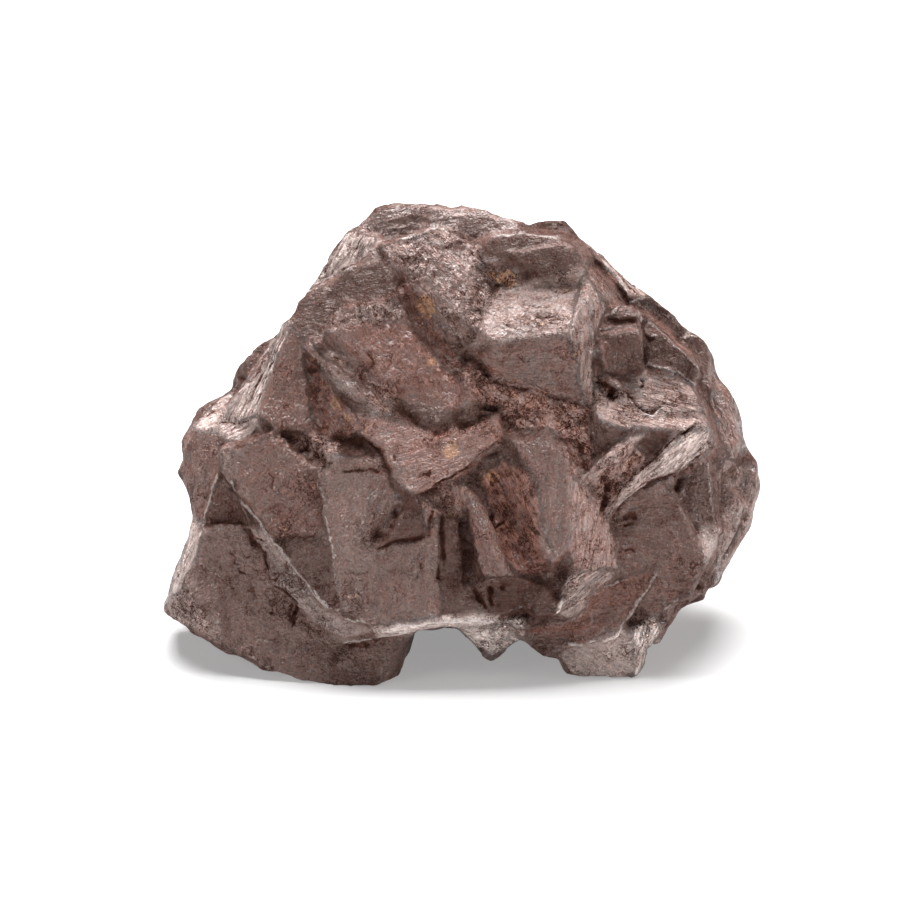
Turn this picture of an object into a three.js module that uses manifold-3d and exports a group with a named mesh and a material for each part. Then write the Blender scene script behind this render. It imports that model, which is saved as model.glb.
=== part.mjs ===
// A prophecy stone: a fist of intergrown marcasite and pyrite crystals, long since turned to brown
// iron oxide. It formed as one piece, so every crystal is fused into one solid.
// Millimetres, +Z up. The broad front of the stone faces -Y and leans back by `lean` degrees, and the
// crystals are laid out in the frame of that leaning front: x to the right, u up it and o out of it.
import * as THREE from "three";
import { ConvexGeometry } from "three/addons/geometries/ConvexGeometry.js";
import { mergeVertices } from "three/addons/utils/BufferGeometryUtils.js";
import Module from "manifold-3d";

const lean = 20; // how far the front leans back, in degrees
const footHeight = -14; // height of the resting plane below the middle of the stone
const edgeWear = 0.35; // chamfer on a crystal's rim unless it states its own
const sideSlope = 0.3; // how much a crystal widens for each millimetre below its face

const rad = THREE.MathUtils.degToRad;
const wasm = await Module();
wasm.setup();

// A closed three.js geometry as a solid that can be joined and cut.
function solid(geometry) {
  const bare = geometry.clone();
  bare.deleteAttribute("normal");
  bare.deleteAttribute("uv");
  const merged = mergeVertices(bare, 1e-4);
  return new wasm.Manifold(
    new wasm.Mesh({
      numProp: 3,
      vertProperties: merged.attributes.position.array,
      triVerts: new Uint32Array(merged.index.array),
    }),
  );
}

// The middle of a list of [x, u] points.
const middle = (outline) => [
  outline.reduce((sum, p) => sum + p[0], 0) / outline.length,
  outline.reduce((sum, p) => sum + p[1], 0) / outline.length,
];

// A tabular crystal. Its face has the given outline as seen from the front, stands `out` from the
// middle plane at the outline's middle, and tips up by `pitch` and to the right by `yaw` degrees.
// Behind its chamfered rim it runs `depth` into the stone and widens by `slope` on the way.
function plate({ outline, out, pitch = 0, yaw = 0, depth = 8, wear = edgeWear, slope = sideSlope }) {
  const [cx, cu] = middle(outline);
  const centre = new THREE.Vector3(cx, cu, out);
  const normal = new THREE.Vector3(
    Math.sin(rad(yaw)) * Math.cos(rad(pitch)),
    Math.sin(rad(pitch)),
    Math.cos(rad(yaw)) * Math.cos(rad(pitch)),
  );
  const corners = [];
  for (const [x, u] of outline) {
    const o = out - (normal.x * (x - cx) + normal.y * (u - cu)) / normal.z;
    const rim = new THREE.Vector3(x, u, o);
    const inward = centre.clone().sub(rim).setLength(wear);
    const spread = rim.clone().sub(centre).setLength(depth * slope);
    corners.push(
      rim.clone().add(inward),
      rim.clone().addScaledVector(normal, -wear),
      rim.clone().add(spread).addScaledVector(normal, -depth),
    );
  }
  return new ConvexGeometry(corners);
}

// A blocky crystal with several faces, as the hull of its corners [x, u, o].
const block = (corners) => new ConvexGeometry(corners.map((c) => new THREE.Vector3(...c)));

// ---- the left foot and the rear crystals beside it ----
const leftFoot = [
  plate({
    outline: [[-19.2, -6.1], [-16.4, -6], [-12.5, -10], [-4.6, -14.2], [-4.4, -15], [-5.4, -17.4],
      [-6.5, -18.3], [-8.8, -18.6], [-12.5, -18.1], [-15.5, -17], [-17.8, -15.6], [-19.8, -12.2],
      [-20.2, -9.4]],
    out: 8.7, yaw: -7, depth: 12, wear: 0.25, slope: 0.05,
  }),
  block([[-4.8, -14.3, 8.9], [-3.6, -13.9, 8], [-4.6, -17, 7.6], [-5.7, -17.6, 8.9], [-6, -18.6, 8],
    [-4.6, -18.6, 7], [-8, -13, 0], [-4, -14, 1], [-5, -18, 0], [-9, -18, 0]]),
  block([[-20.3, -5.6, 6.2], [-19.3, -6.2, 7.6], [-20.1, -9.2, 7.8], [-21.4, -11, 6.9],
    [-22.6, -12.2, 4], [-22.6, -13, 4], [-20.9, -13.9, 6.4], [-17.8, -15.4, 7.9],
    [-18.1, -13.6, 8.4], [-19.8, -12.2, 8.1], [-20.2, -5.6, 0], [-22.6, -12.3, -2],
    [-22.6, -13, -2], [-17, -16, -2], [-12, -8, 0], [-12, -14, 0]]),
  plate({
    outline: [[-18.2, -1.8], [-16.3, -4.2], [-14.8, -6.4], [-17, -8], [-19.4, -6.6], [-19, -4.6]],
    out: 7.5, yaw: -7, depth: 8, wear: 0.15,
  }),
  block([[-20.1, 1.1, 5.2], [-18.3, 1, 6.1], [-18.1, -1.8, 6.9], [-19.1, -5.2, 7.4],
    [-19.5, -6.6, 7.4], [-20.3, -5.7, 6.1], [-21.1, -3.6, 5.3], [-21.5, -2, 4.8], [-20.6, -0.4, 5.2],
    [-19.4, 3.2, 1.6], [-17.4, 4.4, 0.6], [-14, 4, 0], [-14, -6, 0], [-20, -4, -2], [-20.5, -2, -1]]),
  block([[-20.9, 0.9, 3.6], [-20.2, 1.3, 4.6], [-20, -0.6, 5.1], [-21, -0.4, 4], [-20, 2.6, 0],
    [-18, 3.4, -1], [-18, -2, -2], [-20.8, -0.4, 0]]),
  block([[-18.6, 0.9, 6.2], [-17.8, 0.3, 7.4], [-16.1, 0.6, 8], [-15.3, 1.2, 8], [-15.3, 2.3, 6.6],
    [-17.4, 3.2, 4.2], [-18.6, 1.8, 4.8], [-17, -1, 4], [-15, 0, 3], [-16, 4, 1]]),
  plate({
    outline: [[-17.5, 3.8], [-17.2, 4.5], [-16.4, 4.6], [-15.6, 4.2], [-15.8, 3.2], [-17, 3.2]],
    out: 3, pitch: 10, yaw: -15, wear: 0.15,
  }),
  plate({
    outline: [[-17, 4.9], [-16.9, 5.8], [-16.2, 6.6], [-14.8, 6.7], [-13.5, 5.4], [-15.8, 4.7]],
    out: 3.6, pitch: 4, yaw: -14, depth: 7, wear: 0.4, slope: 0.15,
  }),
  plate({
    outline: [[-16, 6.9], [-15.2, 7.7], [-13.2, 8.8], [-12, 8.4], [-14, 6.6]],
    out: 2.8, pitch: 8, yaw: -12, depth: 7, wear: 0.2, slope: 0.15,
  }),
];

// ---- the broad plates of the front, lower left ----
const frontPlates = [
  plate({
    outline: [[-18.2, -0.3], [-16.9, -0.4], [-15.8, 0.4], [-14.4, 0.8], [-13.8, 0.5], [-10.9, -1.9],
      [-10.1, -6.6], [-9, -12.8], [-10.3, -12.1], [-14.2, -7.3], [-18.3, -1.9]],
    out: 10.3, yaw: -17, depth: 8, wear: 0.25, slope: 0.1,
  }),
  plate({
    outline: [[-17.4, -0.2], [-15.8, 0.5], [-14.4, 0.9], [-11.2, -1.8], [-10.5, -7], [-13.8, -7.1],
      [-16.6, -4.2], [-17.2, -2.6]],
    out: 10.4, yaw: -15, depth: 4, wear: 0.4, slope: 0.2,
  }),
  plate({
    outline: [[-16.8, -4.6], [-14.8, -8.3], [-14.2, -10.8], [-12.4, -12.1], [-10.6, -13.9],
      [-9.1, -15], [-7, -14.8], [-4.6, -14.3], [-5, -9], [-12, -4]],
    out: 9.7, yaw: -9, depth: 7, wear: 0.15, slope: 0.05,
  }),
  plate({
    outline: [[-10.8, -2.3], [-10.3, -0.4], [-8.6, -0.3], [-6.6, -0.9], [-5.8, -2], [-5.1, -2.9],
      [-2.6, -4.6], [-1.4, -5.4], [-1.3, -13.2], [-3, -13.5], [-6.8, -14], [-7.2, -13.5],
      [-8.8, -13.1], [-9.3, -11], [-10, -6.6]],
    out: 12, yaw: -4, pitch: -1, depth: 9, wear: 0.35, slope: 0.1,
  }),
  block([[-7, -14, 11.5], [-4.8, -13.6, 12], [-1, -13.1, 12.2], [1.2, -13.2, 12.2], [3.3, -13.2, 11.6],
    [3, -13.5, 10.8], [0, -14, 10.4], [-3.5, -14.3, 10.2], [-6.6, -14.6, 10.2], [-8.8, -14.9, 10.2],
    [-8, -10, 9], [3, -10, 9], [-6, -13, 4], [2, -12, 4]]),
];

// ---- the upper left block, the sheets that show along its left edge, and what lies on it ----
const sheetCount = 4;
const sheetStep = 1.2; // from one sheet to the next below it
const sheetFan = 0.12; // how fast the sheets spread apart towards their lower end
const upperLeftOutline = [[-13, 9.3], [-13.1, 10], [-12, 11.1], [-10.5, 11.8], [-8, 13.3], [-5, 13.9],
  [-3.3, 8], [-6, 0], [-10.9, -0.3], [-13.8, 0.9], [-15.3, 2.2], [-15.2, 3]];
const upperLeft = [
  ...Array.from({ length: sheetCount }, (_, sheet) =>
    plate({
      outline: upperLeftOutline.map(([x, u]) => [x - Math.max(0, 9.6 - u) * sheet * sheetFan, u]),
      out: 9.8 - sheet * sheetStep, pitch: 9, yaw: -12, depth: 8, wear: 0.2, slope: 0.05,
    })),
  plate({
    outline: [[-11.8, 7.1], [-9.8, 8.9], [-8, 10], [-5.1, 10.6], [-1.2, 6.4], [1.5, 3.5], [0, 1],
      [-6.2, 0], [-7, 0.6], [-9.2, 2.9], [-10.5, 4.7]],
    out: 10.9, pitch: 7, yaw: -5, depth: 6, wear: 0.5, slope: 0.5,
  }),
  plate({
    outline: [[-10.2, 8.3], [-8.4, 9.9], [-5.2, 10.5], [-4.5, 9.2], [-1.2, 6], [1.5, 3.5],
      [0.6, 2], [-1.2, 1.9], [-4.6, 3.5], [-8, 6]],
    out: 11.5, pitch: 5, yaw: -4, depth: 6, wear: 0.6, slope: 0.5,
  }),
  plate({
    outline: [[-11.7, 7], [-10.8, 7.6], [-8.6, 5.6], [-5.8, 3.2], [-5.3, 2.3], [-6.4, 1.9],
      [-8.5, 3], [-11, 5.9]],
    out: 11.5, pitch: 2, yaw: -6, depth: 5, wear: 0.7, slope: 0.3,
  }),
];

// ---- the slab across the middle, and the fibrous plates below it ----
const middleFront = [
  plate({
    outline: [[-9.4, 2.9], [-6.5, 2.2], [-3, 1.3], [0.5, 1.3], [3, 2.3], [3.1, 0.1], [1, -1.7],
      [-0.8, -2.9], [-3, -3.9], [-3.9, -4.3], [-5.2, -2.6], [-6.2, -0.5], [-7.2, 0.6]],
    out: 12.3, pitch: 8, yaw: -2, depth: 6, wear: 0.2, slope: 0,
  }),
  block([[-5.1, -2.8, 12.2], [-3.4, -4, 12.7], [-4.4, -5, 12.8], [-5.2, -6.8, 12.6], [-6.5, -8.1, 12.3],
    [-4.9, -7.3, 12.5], [-2.8, -7.1, 12.3], [-3.3, -4.8, 12.4], [-5, -3, 10], [-6.4, -8, 10],
    [-2.6, -7.4, 10], [-3, -4, 10]]),
  plate({
    outline: [[-4, -3.5], [0, -2], [3, -0.3], [7, -1], [8, -9], [6.5, -12], [0, -13.3], [-2, -8]],
    out: 11.5, yaw: 1, depth: 6,
  }),
  plate({
    outline: [[1.2, -2], [3.2, -0.6], [5.8, -1.5], [6.6, -9.4], [4.4, -10], [2.6, -6.3]],
    out: 12.2, yaw: -9, depth: 4, wear: 0.15,
  }),
  plate({
    outline: [[3.2, 0.8], [6.4, 1.1], [8.2, 0.1], [9.3, -2.6], [9.6, -7.2], [8.8, -8.3], [6.8, -9.8],
      [6, -9.6], [5.8, -3.5], [3.4, -1]],
    out: 12.7, yaw: 3, depth: 5, wear: 1, slope: 0.5,
  }),
  plate({
    outline: [[-0.1, -3.2], [0.3, -3.1], [1.4, -4.3], [2.6, -6.4], [4, -9.9], [1.3, -10.1], [0.9, -7.2]],
    out: 12.5, yaw: -4, depth: 3, wear: 0.3, slope: 0.1,
  }),
  plate({
    outline: [[-1.2, -5.9], [0, -5.9], [0.1, -12.8], [-1.4, -12.8]],
    out: 12.2, depth: 3, wear: 0.3, slope: 0.1,
  }),
  plate({
    outline: [[0, -10.6], [0.9, -10.4], [3.7, -10.1], [6.3, -10.8], [6.5, -11.7], [2.6, -12.9], [0, -13.1]],
    out: 12.2, pitch: -3, depth: 3, wear: 0.2, slope: 0.15,
  }),
  plate({
    outline: [[3.2, 3.2], [4.7, 4], [5.2, 3.6], [5, 1.6], [4.6, 0.8], [3.8, 1.8]],
    out: 12, pitch: 10, yaw: -10, depth: 4, wear: 0.2,
  }),
  plate({
    outline: [[5.2, 1.4], [6.4, 2.1], [8, 1.8], [8.6, 0.6], [6.4, 0.4]],
    out: 12, pitch: 20, yaw: 8, depth: 4, wear: 0.2,
  }),
  plate({
    outline: [[1.6, 4.3], [3.6, 4.9], [5.1, 4.4], [4.6, 3.6], [2.2, 3]],
    out: 11.2, pitch: -6, depth: 4, wear: 0.2,
  }),
];

// ---- the crown ----
const crown = [
  block([[-6.3, 14.9, 9.4], [-3.6, 15.6, 8.8], [-1.6, 16.1, 8.4], [-0.4, 15.9, 8.3], [1.5, 15, 8.7],
    [1.9, 12.6, 10.1], [2.4, 11.4, 10.6], [0.6, 7.2, 12.6], [-0.8, 7.4, 12.1], [-3.3, 11.3, 10.6],
    [-4.9, 13.7, 9.7], [-6, 14, 4], [1, 15, 4], [3, 11, 5], [0, 7, 6]]),
  plate({
    outline: [[-8.3, 15.9], [-7.6, 16.9], [-6.3, 17.6], [-3.2, 18.4], [-2.2, 18.2], [-1.1, 17.6],
      [0.5, 15], [-3, 13], [-7, 14]],
    out: 6.3, pitch: 16, yaw: -6, depth: 9, wear: 0.5, slope: 0.2,
  }),
  plate({
    outline: [[-1.3, 17.5], [0.4, 18.1], [2, 17.7], [4, 17], [4.9, 15.8], [4, 13.6], [-1, 13.6]],
    out: 6.8, pitch: 14, yaw: 5, depth: 9, wear: 0.4, slope: 0.2,
  }),
  plate({
    outline: [[-9.4, 14.6], [-8.9, 15.7], [-8.2, 16.1], [-6.6, 15.6], [-6.4, 14.8], [-8, 13.3],
      [-10, 12.3], [-12, 11.1], [-11.3, 12.2]],
    out: 6.6, pitch: 14, yaw: -36, depth: 7, wear: 0.25, slope: 0.15,
  }),
  plate({
    outline: [[-8.7, 15.2], [-7.9, 15.7], [-6.7, 15.5], [-6.3, 15], [-7.2, 14.3], [-8.1, 14.2]],
    out: 7.4, pitch: 14, yaw: -22, depth: 4, wear: 0.3, slope: 0.2,
  }),
  plate({
    outline: [[-8, 13.3], [-7, 14.4], [-6.2, 14.9], [-4.8, 14.7], [-4.6, 13.5], [-6, 13]],
    out: 9.2, pitch: 22, yaw: -14, depth: 5, wear: 0.2, slope: 0.2,
  }),
  plate({
    outline: [[1.6, 14], [1.8, 15.2], [2.4, 15.7], [4.9, 15.8], [7.6, 15.6], [8.4, 15], [9.2, 14.8],
      [9.6, 13.7], [8.8, 12.9], [6, 12.5], [4.2, 12.9], [2, 13]],
    out: 9.9, pitch: 4, yaw: 5, depth: 8, wear: 0.3, slope: 0.15,
  }),
  plate({
    outline: [[3.6, 14.3], [5.6, 14.5], [8.2, 15], [9, 14.7], [9.4, 13.8], [8.7, 13], [4.4, 13.1]],
    out: 10.3, pitch: 2, yaw: 5, depth: 4, wear: 0.25, slope: 0.2,
  }),
  plate({
    outline: [[4.8, 16.5], [6.2, 16.9], [7.7, 16.7], [9.1, 15.5], [9, 14.8], [5, 15.4]],
    out: 6.6, pitch: 22, yaw: 10, depth: 8, wear: 0.25, slope: 0.1,
  }),
  block([[9.1, 15.5, 6.6], [9.5, 14.6, 8.6], [10.8, 13.1, 8], [12.4, 11.4, 7], [13, 11, 6.6],
    [13.9, 11.2, 4.6], [12, 13.3, 4.6], [11, 14.3, 4.6], [9.7, 15.1, 4.6], [9, 15, 0], [13, 11, 0],
    [8, 10, 2]]),
];

// ---- the cube-like block of the upper right, the small cube and the rear plates beside it ----
const upperRight = [
  block([[0.6, 7.2, 12.7], [1.6, 9.5, 11.4], [2, 10.5, 10.8], [2.9, 11.6, 10], [6.4, 12.4, 9.4],
    [9.6, 13.2, 9], [9.3, 11, 10.9], [8.1, 8.1, 13.3], [4, 7.7, 13.1], [1.9, 5.4, 11.7],
    [2.6, 4.8, 11.6], [6, 3.8, 11.8], [9.8, 2.9, 11.4], [10.1, 4.5, 10.8], [10, 8.4, 9.8],
    [11.6, 10, 8.2], [12.1, 10.8, 7.4], [11.2, 12.5, 7.4], [10.1, 13.3, 7.6],
    [10.4, 3, 6], [1, 5, 6], [6, 12, 4], [11.5, 7, 5]]),
  plate({
    outline: [[10.1, 8.4], [13.3, 8.7], [13.6, 7.8], [13.7, 5.5], [12.1, 5], [11, 5.4], [10.6, 6],
      [10.1, 7.4]],
    out: 10.7, yaw: 3, pitch: -5, depth: 7, wear: 0.2, slope: 0,
  }),
  plate({
    outline: [[10, 9.5], [11, 9.3], [13.4, 9.2], [13.3, 9.8], [12.6, 10.4], [12.1, 10.1]],
    out: 9.6, pitch: 34, yaw: 6, depth: 6, wear: 0.15, slope: 0.05,
  }),
  plate({
    outline: [[9.5, 6.9], [10.2, 7.5], [10.6, 7.1], [10.7, 5.7], [9.8, 6.2]],
    out: 11.6, yaw: -4, depth: 4, wear: 0.2, slope: 0.1,
  }),
  plate({
    outline: [[10.2, 4.8], [10.7, 5.2], [11.4, 5], [12.1, 4.5], [12.1, 4.1], [11.2, 4.2], [10.3, 4.4]],
    out: 11, pitch: 24, depth: 5, wear: 0.15, slope: 0,
  }),
  plate({
    outline: [[12.8, 11], [13.8, 11.2], [16, 9.8], [17.8, 8.4], [18.6, 7.2], [19.2, 5.8], [19, 2.6],
      [17.4, 2], [14, 6]],
    out: 5.4, yaw: 5, depth: 8, wear: 0.2, slope: 0.05,
  }),
  plate({
    outline: [[16.8, 7.8], [17.2, 8.1], [17.9, 8.2], [18.7, 7.1], [19.1, 5.6], [19, 3.8], [16.6, 4]],
    out: 5.9, yaw: 7, depth: 7, wear: 0.2, slope: 0.05,
  }),
  plate({
    outline: [[13.4, 9.8], [15, 8.7], [16.2, 7.8], [16.9, 6.9], [17.3, 4.4], [14, 4], [12.5, 7]],
    out: 7.8, yaw: 6, pitch: 3, depth: 8, wear: 0.2, slope: 0.05,
  }),
  plate({
    outline: [[13.9, 7.5], [14.2, 8.1], [14.9, 8.3], [16.2, 7.5], [17.3, 6.7], [17.8, 6], [17.9, 5.1],
      [17.6, 4.3], [16, 4.6], [14.1, 5.5]],
    out: 8.7, yaw: 6, pitch: 1, depth: 5, wear: 0.3, slope: 0.05,
  }),
];

// ---- the terrace and the ledges of the middle right ----
const middleRight = [
  block([[9.9, 2.2, 12.2], [11.2, 1.3, 12.6], [14.5, 0.9, 11.9], [16.4, 1, 11.4], [18.2, 1.4, 10.6],
    [18.7, 0.8, 10.4], [18.4, 2.6, 9.2], [17.5, 4.4, 7.8], [15.5, 5.6, 7.4], [13.9, 5.6, 8],
    [12.2, 3.9, 9.9], [10.3, 3, 11], [10.2, -1.5, 11.6], [14, -2.2, 10.6], [18.4, -1, 9.4],
    [10, -4, 5], [18, -2, 4], [17, 4, 2], [10, 3, 4]]),
  plate({
    outline: [[12.2, 3.9], [13.8, 4.9], [13.9, 5.6], [15.5, 5.6], [17.5, 4.5], [18.3, 2.8], [17, 2.4],
      [15.4, 2.8], [14, 2.3], [13, 2.9]],
    out: 9.8, pitch: 40, yaw: 12, depth: 4, wear: 0.15, slope: 0.05,
  }),
  block([[17.8, 1.7, 10.9], [18.8, 1.3, 10.4], [18.9, -0.3, 10], [18, -1.2, 10], [15.2, -2.6, 10.8],
    [13, -3.9, 11.2], [11.6, -5.6, 11], [10.9, -5.3, 11.2], [12, -3.2, 12], [14.5, -0.9, 12],
    [16.2, 0.5, 11.6], [11, -5, 8], [13, -4, 8], [18, -1, 7], [17, 1, 8], [12, -2, 9]]),
  block([[9.2, -2.8, 12.6], [10.2, -1.4, 12.6], [12.2, 0, 12.6], [12.9, 0.2, 12.2], [12.4, -0.8, 12],
    [11, -1.9, 12], [10, -3, 12], [9.6, -2.6, 9], [12.6, -0.4, 9], [10.6, -0.8, 10]]),
  plate({
    outline: [[16.4, -2.9], [17.3, -1.9], [18.3, -1.2], [18.7, -2], [19.1, -4.4], [19.1, -5.3],
      [18.8, -6.1], [18, -6.4], [16.2, -4.6]],
    out: 8.7, yaw: 8, pitch: -4, depth: 6, wear: 0.15, slope: 0,
  }),
  plate({
    outline: [[17.9, -6.4], [18.6, -6.4], [19.1, -5.8], [19.4, -6.4], [19.2, -7.6], [18.9, -8.6],
      [18.2, -7.9]],
    out: 8.6, yaw: 26, pitch: 8, depth: 6, wear: 0.15, slope: 0,
  }),
];

// ---- the right foot, the plates above it and the small spur beside it ----
const rightFoot = [
  plate({
    outline: [[11.8, -5.6], [13.2, -4], [14.5, -2.9], [15.8, -3.3], [16.2, -4.8], [17.5, -6.8],
      [18.6, -8.7], [17.6, -10], [17, -11.2], [16.2, -11.9], [14.8, -12.9], [14, -12.9], [12, -11],
      [11.2, -8]],
    out: 10, yaw: 9, pitch: -5, depth: 8, wear: 0.3, slope: 0.1,
  }),
  block([[8.6, -4, 12.6], [9.6, -8.4, 12], [8, -10, 11.8], [7.2, -13, 11], [8.8, -13.2, 10.2],
    [10.2, -11, 10.2], [12.4, -10.2, 9.8], [12.2, -8, 10], [11.6, -5.6, 10.8], [10.4, -3.4, 11.4],
    [9, -4, 8], [8, -12.6, 7], [11.6, -10, 7], [11, -5, 8]]),
  plate({
    outline: [[4.6, -12.3], [6.4, -11.8], [7.4, -11.9], [7.2, -12.9], [5.5, -13]],
    out: 11.7, yaw: 4, pitch: -8, depth: 5, wear: 0.15, slope: 0.1,
  }),
  plate({
    outline: [[3.6, -13.4], [7, -13.1], [8.6, -13.2], [10, -11.2], [12, -10.4], [14.7, -9.2],
      [14, -11.1], [12.9, -12.3], [12.1, -13.8], [11.4, -14.9], [9, -15.2], [6.2, -15.3], [4.2, -14.5]],
    out: 9.9, yaw: 4, pitch: -4, depth: 7, wear: 0.2, slope: 0.05,
  }),
  plate({
    outline: [[3, -13.1], [7.2, -13.1], [8.6, -13.2], [9.6, -13.8], [4, -14]],
    out: 10.6, yaw: 4, pitch: -14, depth: 6, wear: 0.15, slope: 0.1,
  }),
  block([[6, -15.3, 7.8], [8.4, -15.6, 8.6], [11.4, -14.8, 9], [12.3, -13.8, 9], [13, -14.2, 9],
    [13.1, -17, 8.4], [12.4, -18.6, 8], [9, -18.6, 8], [7.4, -16, 7.9], [14.1, -12.8, 8],
    [14.5, -13.4, 7], [13.9, -15.6, 5.4], [13.4, -17.6, 5], [13.4, -18.6, 5], [8, -17, -1],
    [13, -17, -1], [6, -13, 0], [14, -12, 0]]),
  plate({
    outline: [[12.8, -12.4], [14.2, -12.8], [15.3, -13.7], [15, -14.8], [14.4, -15.2], [13, -15]],
    out: 5.9, yaw: 16, pitch: -8, depth: 8, wear: 0.2, slope: 0.05,
  }),
  plate({
    outline: [[14.4, -12.6], [16.4, -11.6], [17, -11], [18.7, -11.1], [18.2, -11.9], [17, -12.8],
      [15.4, -13.7]],
    out: 6.4, yaw: 8, pitch: -30, depth: 8, wear: 0.2, slope: 0.05,
  }),
  block([[-0.2, -13.8, 9.4], [1, -15, 8], [2.2, -16, 6.8], [3.4, -15.2, 7.6], [4.8, -14.8, 8],
    [4.4, -13.2, 9.8], [2.2, -13.3, 10], [0.6, -13, 2], [2.4, -14.6, 1], [4.6, -13, 2]]),
];

// ---- the rear plates along the right edge ----
const rightEdge = [
  plate({
    outline: [[19.5, 5.1], [20.5, 4], [21.5, 2.2], [21.9, -0.2], [21, -5], [17, -6], [16, 4]],
    out: 3.4, yaw: 14, depth: 9, wear: 0.4, slope: 0.05,
  }),
  plate({
    outline: [[21.8, -0.2], [22.7, -1.3], [23, -3], [22.6, -5.1], [22.3, -6.3], [21.3, -7.8],
      [20.6, -9.4], [19.3, -11], [17.5, -11], [17, -2]],
    out: 2.6, yaw: 8, depth: 8, wear: 0.5, slope: 0.05,
  }),
  plate({
    outline: [[18, 3.2], [19.2, 2.3], [19.7, 1.3], [19.9, -0.4], [19.4, -3.6], [18.9, -5], [16, -4]],
    out: 6, yaw: 14, depth: 8, wear: 0.2, slope: 0.05,
  }),
  plate({
    outline: [[19.3, -1], [19.9, -2], [20.2, -6], [19.9, -9], [19.3, -8.6], [18.6, -5]],
    out: 4.8, yaw: 20, depth: 6, wear: 0.2, slope: 0.05,
  }),
  plate({
    outline: [[19.1, -8], [19.9, -8.4], [19.8, -9.5], [18.9, -10.9], [17, -11], [16, -6]],
    out: 5.4, yaw: 8, pitch: -5, depth: 8, wear: 0.2, slope: 0.05,
  }),
];

// ---- the profile of the stone as seen from the front, which no crystal oversteps ----
const profile = [
  [-22.7, -12.3], [-20.3, -5.6], [-21.5, -2], [-21.1, 1], [-20.1, 2.3], [-17.6, 4], [-17.3, 5.5],
  [-16.4, 6.9], [-13.3, 9], [-13.2, 10.2], [-12.1, 11.2], [-9.3, 15.2], [-8.3, 16.3], [-6.4, 17.9],
  [-3.2, 18.6], [-1.1, 17.8], [0.5, 18.2], [4.1, 17.3], [4.9, 16.8], [7.7, 16.9], [9.1, 15.8],
  [11.2, 14.1], [13.9, 11.3], [17.9, 8.4], [19.3, 6.1], [19.5, 5.1], [21.5, 2.3], [21.9, 0],
  [22.7, -1.2], [23, -3], [22.5, -6.2], [20.6, -9.6], [19.3, -11.2], [18.6, -12.1], [15.5, -13.9],
  [15, -15], [13.8, -17], [13, -19.5], [9, -19.5], [7.4, -16.1], [5, -15.1], [3.4, -15.2],
  [2.2, -16.2], [-0.2, -14], [-3.6, -14], [-5, -19.5], [-12.6, -19.5], [-18.2, -15.7],
  [-22.6, -13.2],
];
const profileDepth = 80;
const profilePoints = profile.map(([x, u]) => new THREE.Vector2(x, u));
const profileBar = new THREE.ExtrudeGeometry(new THREE.Shape(profilePoints), {
  depth: profileDepth,
  bevelEnabled: false,
});
profileBar.translate(0, 0, -profileDepth / 2);

// How low u may reach at a given `out` for the underside to stay `clear` above the resting plane.
const underside = (out, clear) =>
  (footHeight + clear - out * Math.sin(rad(lean))) / Math.cos(rad(lean));

// ---- the heart: the lump that the crystals grew from, as slices of the shrunken profile ----
const heartSlices = [
  { out: 11.2, scale: 0.2 }, { out: 10, scale: 0.45 }, { out: 8, scale: 0.66 }, { out: 4.5, scale: 0.82 },
  { out: -1, scale: 0.88 }, { out: -7, scale: 0.78 }, { out: -12, scale: 0.52 }, { out: -14, scale: 0.25 },
];
const heart = new ConvexGeometry(
  heartSlices.flatMap(({ out, scale }) =>
    profile.map(([x, u]) => new THREE.Vector3(x * scale, Math.max(u * scale, underside(out, 3)), out))),
);

// ---- the sides, back, top and underside: rows of crystals that follow the profile round ----
// Each row lies `out` from the middle plane (behind it where negative), on the profile shrunk to
// `scale`, and its crystals lean back by `lean` degrees.
const rows = [
  { out: 0, scale: 0.93, lean: 4, count: 12, radius: 5.4 },
  { out: -6.5, scale: 0.86, lean: 26, count: 9, radius: 6 },
  { out: -12, scale: 0.62, lean: 52, count: 6, radius: 6.6 },
  { out: -15, scale: 0.25, lean: 76, count: 2, radius: 6.8 },
];

// The same run of scattered numbers between -1 and 1 each time (a small linear congruential series).
function scatter(seed) {
  let state = seed;
  return () => {
    state = (state * 1664525 + 1013904223) % 4294967296;
    return (state / 4294967296) * 2 - 1;
  };
}

// One crystal of a row, an uneven six-sided tablet that faces outward from the place it is set on.
function setCrystal(place, { out, scale, lean: leanBack, radius }, vary) {
  const outward = new THREE.Vector2(place.x / 22, place.y / 17).normalize();
  const facing = new THREE.Vector3(
    outward.x * Math.cos(rad(leanBack)),
    outward.y * Math.cos(rad(leanBack)),
    -Math.sin(rad(leanBack)),
  );
  const low = underside(out, 2.2);
  const seat = new THREE.Vector3(place.x * scale, Math.max(place.y * scale, low), out);
  seat.addScaledVector(facing, vary() * 0.7);
  seat.z += vary() * 1.5;
  const outline = [];
  for (let corner = 0; corner < 6; corner++) {
    const angle = rad(60 * corner + vary() * 18);
    const length = radius * (1 + vary() * 0.2);
    outline.push([Math.cos(angle) * length, Math.sin(angle) * length * 0.8]);
  }
  const geometry = plate({
    outline, out: 0, pitch: vary() * 14, yaw: vary() * 14, depth: 9, wear: 0.4, slope: 0.15,
  });
  const turned = new THREE.Object3D();
  turned.position.copy(seat);
  turned.lookAt(seat.clone().add(facing));
  turned.rotateZ(rad(vary() * 90));
  turned.updateMatrix();
  return geometry.applyMatrix4(turned.matrix);
}

const profilePath = new THREE.Path([...profilePoints, profilePoints[0]]);
const around = rows.flatMap((row, index) => {
  const vary = scatter(11 + index * 7);
  return Array.from({ length: row.count }, (_, n) => {
    const share = ((n + 0.5 * index) / row.count + vary() * 0.015 + 1) % 1;
    return setCrystal(profilePath.getPointAt(share), row, vary);
  });
});

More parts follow.
